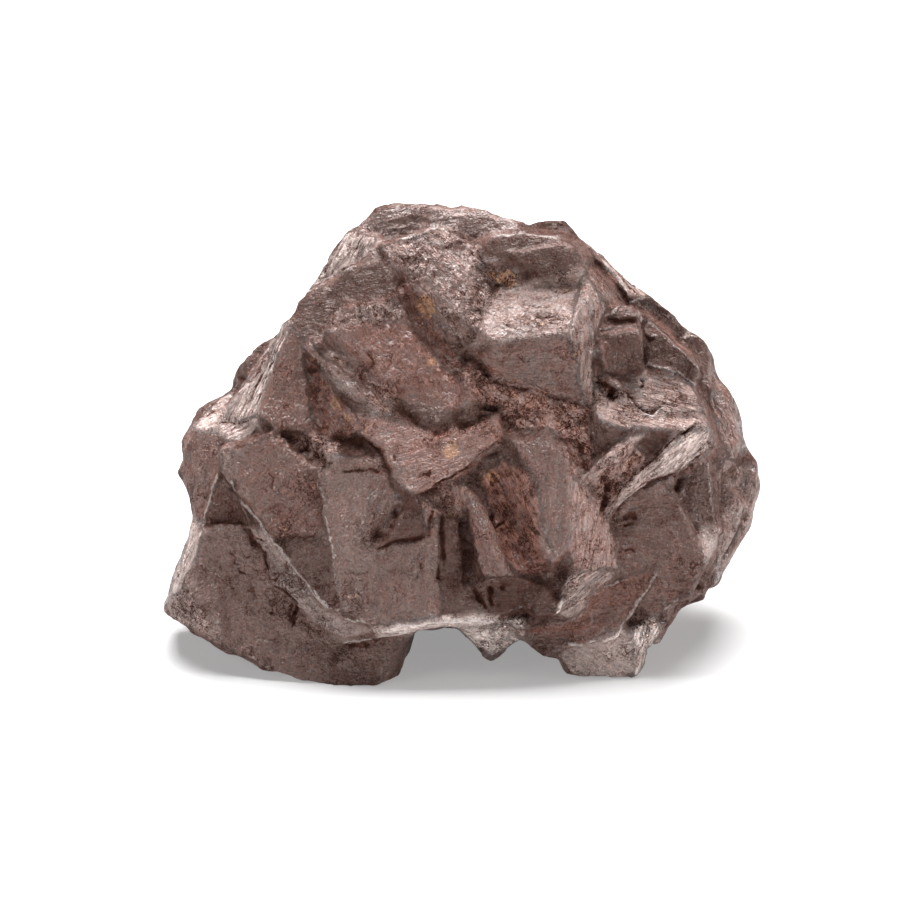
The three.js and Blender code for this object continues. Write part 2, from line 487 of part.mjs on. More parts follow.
// The rear foot, a blunt crystal under the back of the stone.
around.push(block([
  [-4, -10, -8], [5.5, -10, -7.5], [6.2, -14.6, -7], [-3.2, -15, -7.4], [-2.6, -14, -13.4],
  [4.2, -13.4, -13.8], [5.2, -8, -14.6], [-3.6, -7.4, -14.2], [0, -6, -6],
]));

// ---- everything fused, leaned back, and cut flat where its feet rest ----
const crystals = [
  ...leftFoot, ...frontPlates, ...upperLeft, ...middleFront, ...crown,
  ...upperRight, ...middleRight, ...rightFoot, ...rightEdge, ...around,
];
let fused = crystals.reduce((whole, crystal) => whole.add(solid(crystal)), solid(heart));
fused = fused.intersect(solid(profileBar));
fused = fused.rotate([90 - lean, 0, 0]);

const cutSize = 120;
const belowFeet = new THREE.BoxGeometry(cutSize, cutSize, cutSize);
belowFeet.translate(0, 0, footHeight - cutSize / 2);
fused = fused.subtract(solid(belowFeet));

// The origin: the middle of the stone's box, at the height of its feet.
const box = fused.boundingBox();
fused = fused.translate([
  -(box.min[0] + box.max[0]) / 2,
  -(box.min[1] + box.max[1]) / 2,
  -box.min[2],
]);

// Crystals that meet can seal a pore between them. A pore's wall shares no vertex with the outer
// skin, so what hangs together with the lowest vertex is the skin alone, and the pores are filled.
function outerSkin({ vertProperties, triVerts }) {
  const leader = Uint32Array.from({ length: vertProperties.length / 3 }, (_, vertex) => vertex);
  const find = (vertex) => {
    while (leader[vertex] !== vertex) vertex = leader[vertex];
    return vertex;
  };
  const join = (a, b) => {
    const [low, high] = [find(a), find(b)].sort((p, q) => p - q);
    leader[high] = low;
  };
  for (let t = 0; t < triVerts.length; t += 3) {
    join(triVerts[t], triVerts[t + 1]);
    join(triVerts[t], triVerts[t + 2]);
  }
  let lowest = 0;
  for (let vertex = 0; vertex < leader.length; vertex++) {
    if (vertProperties[vertex * 3 + 2] < vertProperties[lowest * 3 + 2]) lowest = vertex;
  }
  const kept = [];
  for (let t = 0; t < triVerts.length; t += 3) {
    if (find(triVerts[t]) === find(lowest)) kept.push(triVerts[t], triVerts[t + 1], triVerts[t + 2]);
  }
  const skin = new THREE.BufferGeometry();
  skin.setAttribute("position", new THREE.BufferAttribute(vertProperties, 3));
  skin.setIndex(kept);
  return mergeVertices(skin.toNonIndexed(), 1e-5);
}

const geometry = outerSkin(fused.getMesh());
geometry.computeVertexNormals();

const ironOxide = new THREE.MeshStandardMaterial({
  name: "iron oxide",
  color: 0x4c3a35,
  roughness: 0.5,
  metalness: 0.1,
});

const stone = new THREE.Mesh(geometry, ironOxide);
stone.name = "stone";

const group = new THREE.Group();
group.add(stone);

export default group;
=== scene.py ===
import itertools
import math

import bmesh
import bpy
import numpy as np
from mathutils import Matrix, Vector


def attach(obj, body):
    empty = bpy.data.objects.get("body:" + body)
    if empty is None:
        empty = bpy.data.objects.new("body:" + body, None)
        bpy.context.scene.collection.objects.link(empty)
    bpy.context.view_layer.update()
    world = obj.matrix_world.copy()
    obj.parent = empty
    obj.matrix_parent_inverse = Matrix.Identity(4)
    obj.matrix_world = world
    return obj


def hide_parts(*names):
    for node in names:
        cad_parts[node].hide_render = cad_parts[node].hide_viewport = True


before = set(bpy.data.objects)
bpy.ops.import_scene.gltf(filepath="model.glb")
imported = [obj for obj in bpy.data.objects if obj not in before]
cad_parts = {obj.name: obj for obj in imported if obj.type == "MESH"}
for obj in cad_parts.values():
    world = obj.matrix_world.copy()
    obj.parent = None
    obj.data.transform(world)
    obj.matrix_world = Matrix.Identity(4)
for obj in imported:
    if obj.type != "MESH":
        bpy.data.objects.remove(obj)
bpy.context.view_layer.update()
print("frame loaded")

scene = bpy.context.scene
mm = 0.001

# The broad front leans back. Everything on the stone is laid out in the frame of that front, in
# millimetres: x to the right, u up the front and o out of it.
front = {
    "lean": 20.0,  # degrees
    "middle": (-0.165, -0.467, 14.0),  # where x, u and o are zero, from the floor's centre
}
lean = math.radians(front["lean"])
frontAxes = np.array([(1, 0, 0), (0, math.sin(lean), math.cos(lean)), (0, -math.cos(lean), math.sin(lean))])


def toFront(points):
    return (points / mm - front["middle"]) @ frontAxes.T


def toWorld(points):
    return (points @ frontAxes + front["middle"]) * mm


def smooth(low, high, values):
    # 0 at low and 1 at high, with soft ends
    t = np.clip((values - low) / (high - low), 0, 1)
    return t * t * (3 - 2 * t)


def scrambled(cell, seed):
    # thirty bits for each cell of a grid, the same in each run
    mixed = (cell[:, 0] * 73856093) ^ (cell[:, 1] * 19349663) ^ (cell[:, 2] * 83492791) ^ (seed * 6542989)
    return ((mixed ^ (mixed >> 13)) * 1274126177) & 0x3FFFFFFF


def noise(points, size, seed):
    # gradient noise, about -0.7 to 0.7, with lumps of the given size
    cell = points / size + seed * 3.17
    base = np.floor(cell).astype(np.int64)
    part = cell - base
    ease = part ** 3 * (part * (part * 6 - 15) + 10)
    total = np.zeros(len(points))
    for corner in itertools.product((0, 1), repeat=3):
        bits = scrambled(base + corner, seed)
        weight = np.ones(len(points))
        slope = np.zeros(len(points))
        for axis in range(3):
            steep = ((bits >> (10 * axis)) & 1023) / 511.5 - 1
            slope += steep * (part[:, axis] - corner[axis])
            weight *= ease[:, axis] if corner[axis] else 1 - ease[:, axis]
        total += weight * slope
    return total


def layeredNoise(points, size, seed, layers=3):
    return sum(noise(points, size / 2 ** n, seed + n) / 1.8 ** n for n in range(layers))


def drift(points, size, seed):
    # a noise of its own along each axis
    return np.stack([noise(points, size, seed + axis) for axis in range(3)], 1)


def rubble(points, size, seed):
    # tipped flats with sharp borders, about -0.5 to 0.5
    cell = points / size
    base = np.floor(cell).astype(np.int64)
    best = np.full(len(points), 9.0)
    height = np.zeros(len(points))
    for step in itertools.product((-1, 0, 1), repeat=3):
        at = base + step
        bits = scrambled(at, seed)
        random = np.stack([(bits >> shift & 1023) / 1023 for shift in (0, 10, 20)], 1)
        away = cell - at - random
        distance = (away ** 2).sum(axis=1)
        closer = distance < best
        best[closer] = distance[closer]
        tipped = (away * (random[:, [1, 2, 0]] - 0.5)).sum(axis=1)
        height[closer] = tipped[closer] + random[closer, 0] * 0.5 - 0.25
    return height


def read(items, key, width, kind=np.int32):
    # one property of all the items, as rows
    flat = np.empty(len(items) * width, kind)
    items.foreach_get(key, flat)
    return flat.reshape(-1, width)


class Skin:
    # a closed mesh as arrays, its points in the frame of the front
    def __init__(self, mesh):
        self.points = toFront(read(mesh.vertices, "co", 3, float))
        self.links = read(mesh.edges, "vertices", 2)
        self.quads = read(mesh.loops, "vertex_index", 1).reshape(-1, 4)
        self.degree = np.maximum(np.bincount(self.links.ravel(), minlength=len(self.points)), 1)

    def average(self, values):
        # each value as the mean of its neighbours' values
        a, b = self.links.T
        count = len(self.degree)
        return (np.bincount(a, values[b], count) + np.bincount(b, values[a], count)) / self.degree

    def relax(self, rounds, amount=1.0):
        points = self.points
        amount = np.broadcast_to(amount, len(points))[:, None] * 0.5
        for _ in range(rounds):
            mean = np.stack([self.average(points[:, axis]) for axis in range(3)], 1)
            points = points + (mean - points) * amount
        return points

    def melt(self, rounds, amount):
        # relaxes only the points whose amount isn't zero, which is quick for a small place
        links = self.links[(amount > 0)[self.links].any(axis=1)]
        members, ends = np.unique(links, return_inverse=True)
        part = Skin.__new__(Skin)
        part.points, part.links = self.points[members], ends.reshape(-1, 2)
        part.degree = np.maximum(np.bincount(part.links.ravel(), minlength=len(members)), 1)
        self.points[members] = part.relax(rounds, amount[members])

    def spread(self, values, rounds):
        for _ in range(rounds):
            values = (values + self.average(values)) / 2
        return values

    def normals(self, points=None):
        p = self.points if points is None else points
        q = self.quads
        cross = np.cross(p[q[:, 2]] - p[q[:, 0]], p[q[:, 3]] - p[q[:, 1]])
        total = np.stack([
            sum(np.bincount(q[:, k], cross[:, axis], len(p)) for k in range(4)) for axis in range(3)
        ], 1)
        return total / np.maximum(np.linalg.norm(total, axis=1, keepdims=True), 1e-12)

    def write(self, mesh):
        world = toWorld(self.points)
        world[:, 2] = np.maximum(world[:, 2], 0)  # the feet stand on the floor
        mesh.vertices.foreach_set("co", world.ravel())
        mesh.update()


def remeshed(mesh, size):
    # the mesh as even quads of the given size in millimetres
    holder = bpy.data.objects.new("holder", mesh)
    scene.collection.objects.link(holder)
    modifier = holder.modifiers.new("even", "REMESH")
    modifier.mode = "VOXEL"
    modifier.voxel_size = size * mm
    modifier.adaptivity = 0
    graph = bpy.context.evaluated_depsgraph_get()
    result = bpy.data.meshes.new_from_object(holder.evaluated_get(graph))
    bpy.data.objects.remove(holder)
    return result


def dropLoose(mesh):
    # keeps the largest of the separate pieces
    a, b = read(mesh.edges, "vertices", 2).T
    piece = np.arange(len(mesh.vertices))
    while (piece[a] != piece[b]).any():
        least = np.minimum(piece[a], piece[b])
        np.minimum.at(piece, piece[a], least)
        np.minimum.at(piece, piece[b], least)
        piece = piece[piece]
    loose = np.nonzero(piece != np.bincount(piece).argmax())[0]
    shell = bmesh.new()
    shell.from_mesh(mesh)
    shell.verts.ensure_lookup_table()
    bmesh.ops.delete(shell, geom=[shell.verts[i] for i in loose], context="VERTS")
    shell.to_mesh(mesh)
    shell.free()
    print("loose points dropped", len(loose))


def pathDistance(x, u, path):
    # distance to a line of points, the side it lies on (1 is left of the way it runs) and the
    # share of the way along it
    best = np.full(len(x), 1e9)
    side = np.ones(len(x))
    along = np.zeros(len(x))
    whole = sum(math.dist(a, b) for a, b in itertools.pairwise(path))
    done = 0
    for a, b in itertools.pairwise(path):
        length = math.dist(a, b)
        dx, du = (b[0] - a[0]) / length, (b[1] - a[1]) / length
        t = np.clip((x - a[0]) * dx + (u - a[1]) * du, 0, length)
        away = np.hypot(x - a[0] - dx * t, u - a[1] - du * t)
        closer = away < best
        best[closer] = away[closer]
        side[closer] = np.sign(dx * (u - a[1]) - du * (x - a[0]))[closer]
        along[closer] = ((done + t) / whole)[closer]
        done += length
    return best, side, along


def insideDistance(x, u, outline):
    # distance to an outline's edge, positive inside it
    ring = [*outline, outline[0]]
    away, _, _ = pathDistance(x, u, ring)
    inside = np.zeros(len(x), bool)
    for (ax, au), (bx, bu) in itertools.pairwise(ring):
        if au != bu:
            inside ^= ((au > u) != (bu > u)) & (x < ax + (bx - ax) * (u - au) / (bu - au))
    return np.where(inside, away, -away)


def nearPath(x, u, path, margin):
    # which points lie in the box round a path
    xs, us = zip(*path)
    return (x > min(xs) - margin) & (x < max(xs) + margin) & (u > min(us) - margin) & (u < max(us) + margin)


def turned(x, u, angle):
    # the same places measured along a line at this angle, and across it
    c, s = math.cos(math.radians(angle)), math.sin(math.radians(angle))
    return x * c + u * s, u * c - x * s


# Sizes and depths are in millimetres.
shape = {
    "coarse": 0.16,  # mesh size for the large forms
    "fine": 0.11,  # and for the detail
    "mostTriangles": 196000,
    "keepFactor": 1.5e-4,  # how strongly the lines of the front are spared when the mesh is thinned
    "holeRadius": 1.0,
    "holeDepth": 0.55,
    "wander": ((4.0, 0.30), (1.6, 0.12)),  # how far edges stray from straight: (lump size, reach)
    "wearRounds": 1,
    "grid": (0.25, 56),  # cell and width of the grid that measures how far out the front reaches
    "plates": ((8, 2.2), (3.5, 1.0)),  # crystal plates on the other sides: (size, depth)
    "plateLevel": 0.15,  # where the rubble is this high, the surface stays as it is
    "plateWear": (30, 0.8),  # rounds of relaxing, and how much
}

# Flats that are filled up: the outline, how far out its middle stands, and how far it tips up and to
# the right, in degrees.
flats = [
    ([(1.6, 11.6), (5.6, 11.8), (6, 13.2), (1.4, 13.6)], 10.1, 0, 0),
    ([(5.2, 11.6), (9, 12.4), (9.3, 13.4), (5.6, 13.2)], 10.45, 10, 0),
    ([(1.4, 5.2), (5, 5), (9.8, 4.4), (9.8, 1.6), (6, 1.4), (3, 2.2)], 11.7, 6, 4),
    ([(8, 1.6), (10.2, 1), (10.4, -2.8), (8.4, -2.8)], 11.8, 0, 12),
    ([(10, 5.6), (14, 4.8), (14, 3), (10, 3)], 10.3, 10, 8),
    ([(-2.6, 18), (1.4, 17.8), (1.4, 15.8), (-2.6, 15.8)], 6.9, 14, 0),
    ([(9.6, -2), (11.8, -1.6), (12, -6), (10, -6)], 11.0, 0, 14),
    ([(12, -0.4), (13.6, -0.4), (13, -2.6), (11.6, -2.6)], 11.6, 0, 10),
    ([(-14, 0.8), (-11.4, 1.3), (-9.6, 0.6), (-9.6, -2.6), (-11.4, -2)], 10.55, -6, -8),
    ([(-5.6, 13), (-3, 13), (1.6, 5.8), (0.6, 4.2), (-1, 4.4), (-5, 9.6)], 11.25, 11, -3),
    ([(11, 9.6), (13.4, 9.6), (13.2, 8.2), (10.8, 8.2)], 9.6, 30, 0),
    ([(9.8, 13.4), (12.2, 11.2), (13, 10.2), (12.4, 9.4), (10.8, 11)], 6.9, 20, 30),
]

# Troughs: the line of the bottom, how far out it lies at its start and its end, and how steeply its
# left and right sides rise, seen along the line.
troughs = [
    ([(-5, 12.8), (-4, 10.6), (-3.3, 9.1), (-2, 7.5), (-0.8, 6.3), (0.3, 5.1)], 10.0, 10.9, 0.3, 0.75),
    ([(-9.9, 6.9), (-8.4, 5.7), (-7, 4.7), (-5.2, 3.4)], 10.7, 11.2, 0.5, 0.6),
    ([(-11.9, 6.6), (-11.2, 4.6), (-10.7, 2.8), (-10.5, 0.6)], 9.5, 10.3, 0.5, 0.25),
]

# Places that are worn round: the middle, half the length and width, the turn in degrees and the rounds.
melts = [
    ((-8.2, 4.9), (4.2, 1.5), -42, 40),
    ((-7, 1.6), (3.2, 1.6), -20, 70),
    ((-3.5, 3), (3.5, 1.5), -20, 50),
    ((-1.8, 9), (2.2, 5.4), 35, 60),
    ((-7, 9.8), (3.6, 1.2), 10, 40),
    ((9.2, -4.5), (2, 5), 0, 60),
    ((-0.4, 17), (2.4, 1.8), 0, 120),
    ((-4.2, -5.5), (2, 2.6), 0, 10),
    ((-15, 5.2), (1.6, 4.6), -35, 80),
    ((-12, 0), (2.4, 1.4), -25, 40),
    ((6, 3.4), (4.6, 1.3), -10, 60),
    ((9.2, -0.8), (1.2, 2.4), 0, 40),
    ((11, -4), (1.2, 2.6), 0, 30),
    ((12, 4), (2.2, 1.2), 0, 30),
    ((11.6, 11.2), (1.2, 2.2), 40, 20),
    ((12.6, 12.3), (1.0, 1.0), 0, 60),
]

# Where the outline is filled out or drawn in: place, radius and how far it moves to the right and up.
nudges = [
    ((14.6, -13), 2.2, 0.6, -0.6),
    ((16.6, -10.6), 2.2, 0.2, -0.5),
    ((-19.6, -14), 1.4, -0.5, 0),
    ((-18, -15.4), 1.6, -0.1, -0.4),
    ((-13.6, -17.8), 1.6, 0.2, 0.4),
    ((14.6, -14.8), 1.6, 0.1, -0.25),
    ((19, -10), 1.4, 0.2, -0.5),
    ((2.5, -15.6), 1.6, 0, -0.5),
    ((-5.6, 17.4), 2.4, -0.5, 0.4),
    ((17, 8.8), 1.6, -0.3, -0.2),
    ((1.5, -15), 2.4, 0, -0.35),
    ((6, -15.6), 2.4, 0, -0.4),
    ((-13.4, 10.2), 1.4, 0.4, -0.3),
    ((-20.9, -0.1), 1.2, -0.35, 0),
]


def onFront(skin, path, margin):
    # the points of the front half near a path
    x, u, o = skin.points.T
    return np.nonzero(nearPath(x, u, path, margin) & (o > 0))[0]


def frontDepth(skin, cell, width):
    # how far out the stone reaches over a square grid of x and u, and each point's place in it
    count = int(width / cell)
    place = tuple(np.clip(np.floor((skin.points[:, :2] + width / 2) / cell).astype(int), 0, count - 1).T)
    depth = np.full((count, count), -99.0)
    np.maximum.at(depth, place, skin.points[:, 2])
    return depth, place


def fillFlats(skin):
    for outline, out, pitch, yaw in flats:
        at = onFront(skin, outline, 1)
        x, u, o = skin.points[at].T
        middleX, middleU = np.mean(outline, axis=0)
        nx = math.sin(math.radians(yaw)) * math.cos(math.radians(pitch))
        nu = math.sin(math.radians(pitch))
        no = math.cos(math.radians(yaw)) * math.cos(math.radians(pitch))
        wanted = np.maximum(o, out - (nx * (x - middleX) + nu * (u - middleU)) / no)
        share = smooth(-0.4, 0.3, insideDistance(x, u, outline)) * smooth(3, 5, o)
        skin.points[at, 2] = o + (wanted - o) * share


def cutTroughs(skin):
    for path, start, end, left, right in troughs:
        at = onFront(skin, path, 3)
        x, u, o = skin.points[at].T
        away, side, along = pathDistance(x, u, path)
        wanted = start + (end - start) * along + away * np.where(side > 0, left, right)
        ends = smooth(0, 0.05, along) * smooth(0, 0.05, 1 - along)
        share = smooth(3, 5, o) * (1 - smooth(2.2, 3, away)) * ends
        skin.points[at, 2] = o + (np.minimum(o, wanted) - o) * share


def wearRound(skin):
    for middle, (long, wide), turn, rounds in melts:
        x, u, o = skin.points.T
        along, across = turned(x - middle[0], u - middle[1], turn)
        skin.melt(rounds, (1 - smooth(0.35, 1, np.hypot(along / long, across / wide))) * smooth(2, 5, o))


def closeHoles(skin, radius, deepest):
    # fills what is narrower than twice the radius until it is no deeper than this under its rims
    cell, width = shape["grid"]
    depth, place = frontDepth(skin, cell, width)
    reach = int(radius / cell)
    steps = [(a, b) for a in range(-reach, reach + 1) for b in range(-reach, reach + 1)
             if a * a + b * b <= reach * reach]
    rims = np.max([np.roll(depth, step, (0, 1)) for step in steps], axis=0)
    closed = np.min([np.roll(rims, step, (0, 1)) for step in steps], axis=0)
    lowest = closed[place] - deepest
    o = skin.points[:, 2]
    sunk = (o < lowest) & (o > lowest - 4) & (o > 1) & (skin.normals()[:, 2] > -0.3)
    skin.points[sunk, 2] = lowest[sunk]


def moveOutline(skin):
    for (x, u), radius, right, up in nudges:
        share = 1 - smooth(0.2, 1, np.hypot(skin.points[:, 0] - x, skin.points[:, 1] - u) / radius)
        skin.points[:, :2] += share[:, None] * (right, up)


def stepPlates(skin):
    # breaks the sides that face back into plates, where the stone is thick enough for them
    facing = skin.normals(skin.relax(rounds=40))[:, 2]
    depth, place = frontDepth(skin, *shape["grid"])
    thick = depth[place] - skin.points[:, 2]
    back = np.nonzero(facing < -0.1)[0]
    share = smooth(-0.15, -0.6, facing[back]) * smooth(3, 7, thick[back])
    for size, step in shape["plates"]:
        bent = skin.points[back] + drift(skin.points[back], size, seed=45) * size * 0.3
        skin.points[back, 2] -= (rubble(bent, size, seed=43) - shape["plateLevel"]) * step * share
    rounds, amount = shape["plateWear"]
    skin.melt(rounds, smooth(0, -0.4, facing) * amount)


stoneMesh = remeshed(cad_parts["stone"].data.copy(), shape["coarse"])
skin = Skin(stoneMesh)
fillFlats(skin)
cutTroughs(skin)
wearRound(skin)
closeHoles(skin, shape["holeRadius"], shape["holeDepth"])
moveOutline(skin)
stepPlates(skin)
for number, (size, reach) in enumerate(shape["wander"]):
    skin.points += drift(skin.points, size, seed=5 + number * 3) * reach * 2
skin.points = skin.relax(rounds=2)
skin.write(stoneMesh)
stoneMesh = remeshed(stoneMesh, shape["fine"])
skin = Skin(stoneMesh)
skin.points = skin.relax(shape["wearRounds"])
print("large forms", len(skin.points))

# How light the crust looks on each face, partly its own colour and partly painted light and shade:
# the lighter levels are painted highlight on faces that catch the light, the darker ones painted shade;
# then how red.
crustAndLight = {"deep": -0.7, "dark": -0.4, "dim": -0.2, "plain": 0, "light": 0.35, "wornAndLit": 0.85, "bright": 1.4,
          "brightest": 1.9}
hues = {"grey": -0.55, "brown": -0.1, "ruddy": 0.3, "red": 0.6, "rusty": 0.9}


def face(crust, hue, outline, **others):
    return outline, {"tone": crustAndLight[crust], "red": hues[hue], **others}
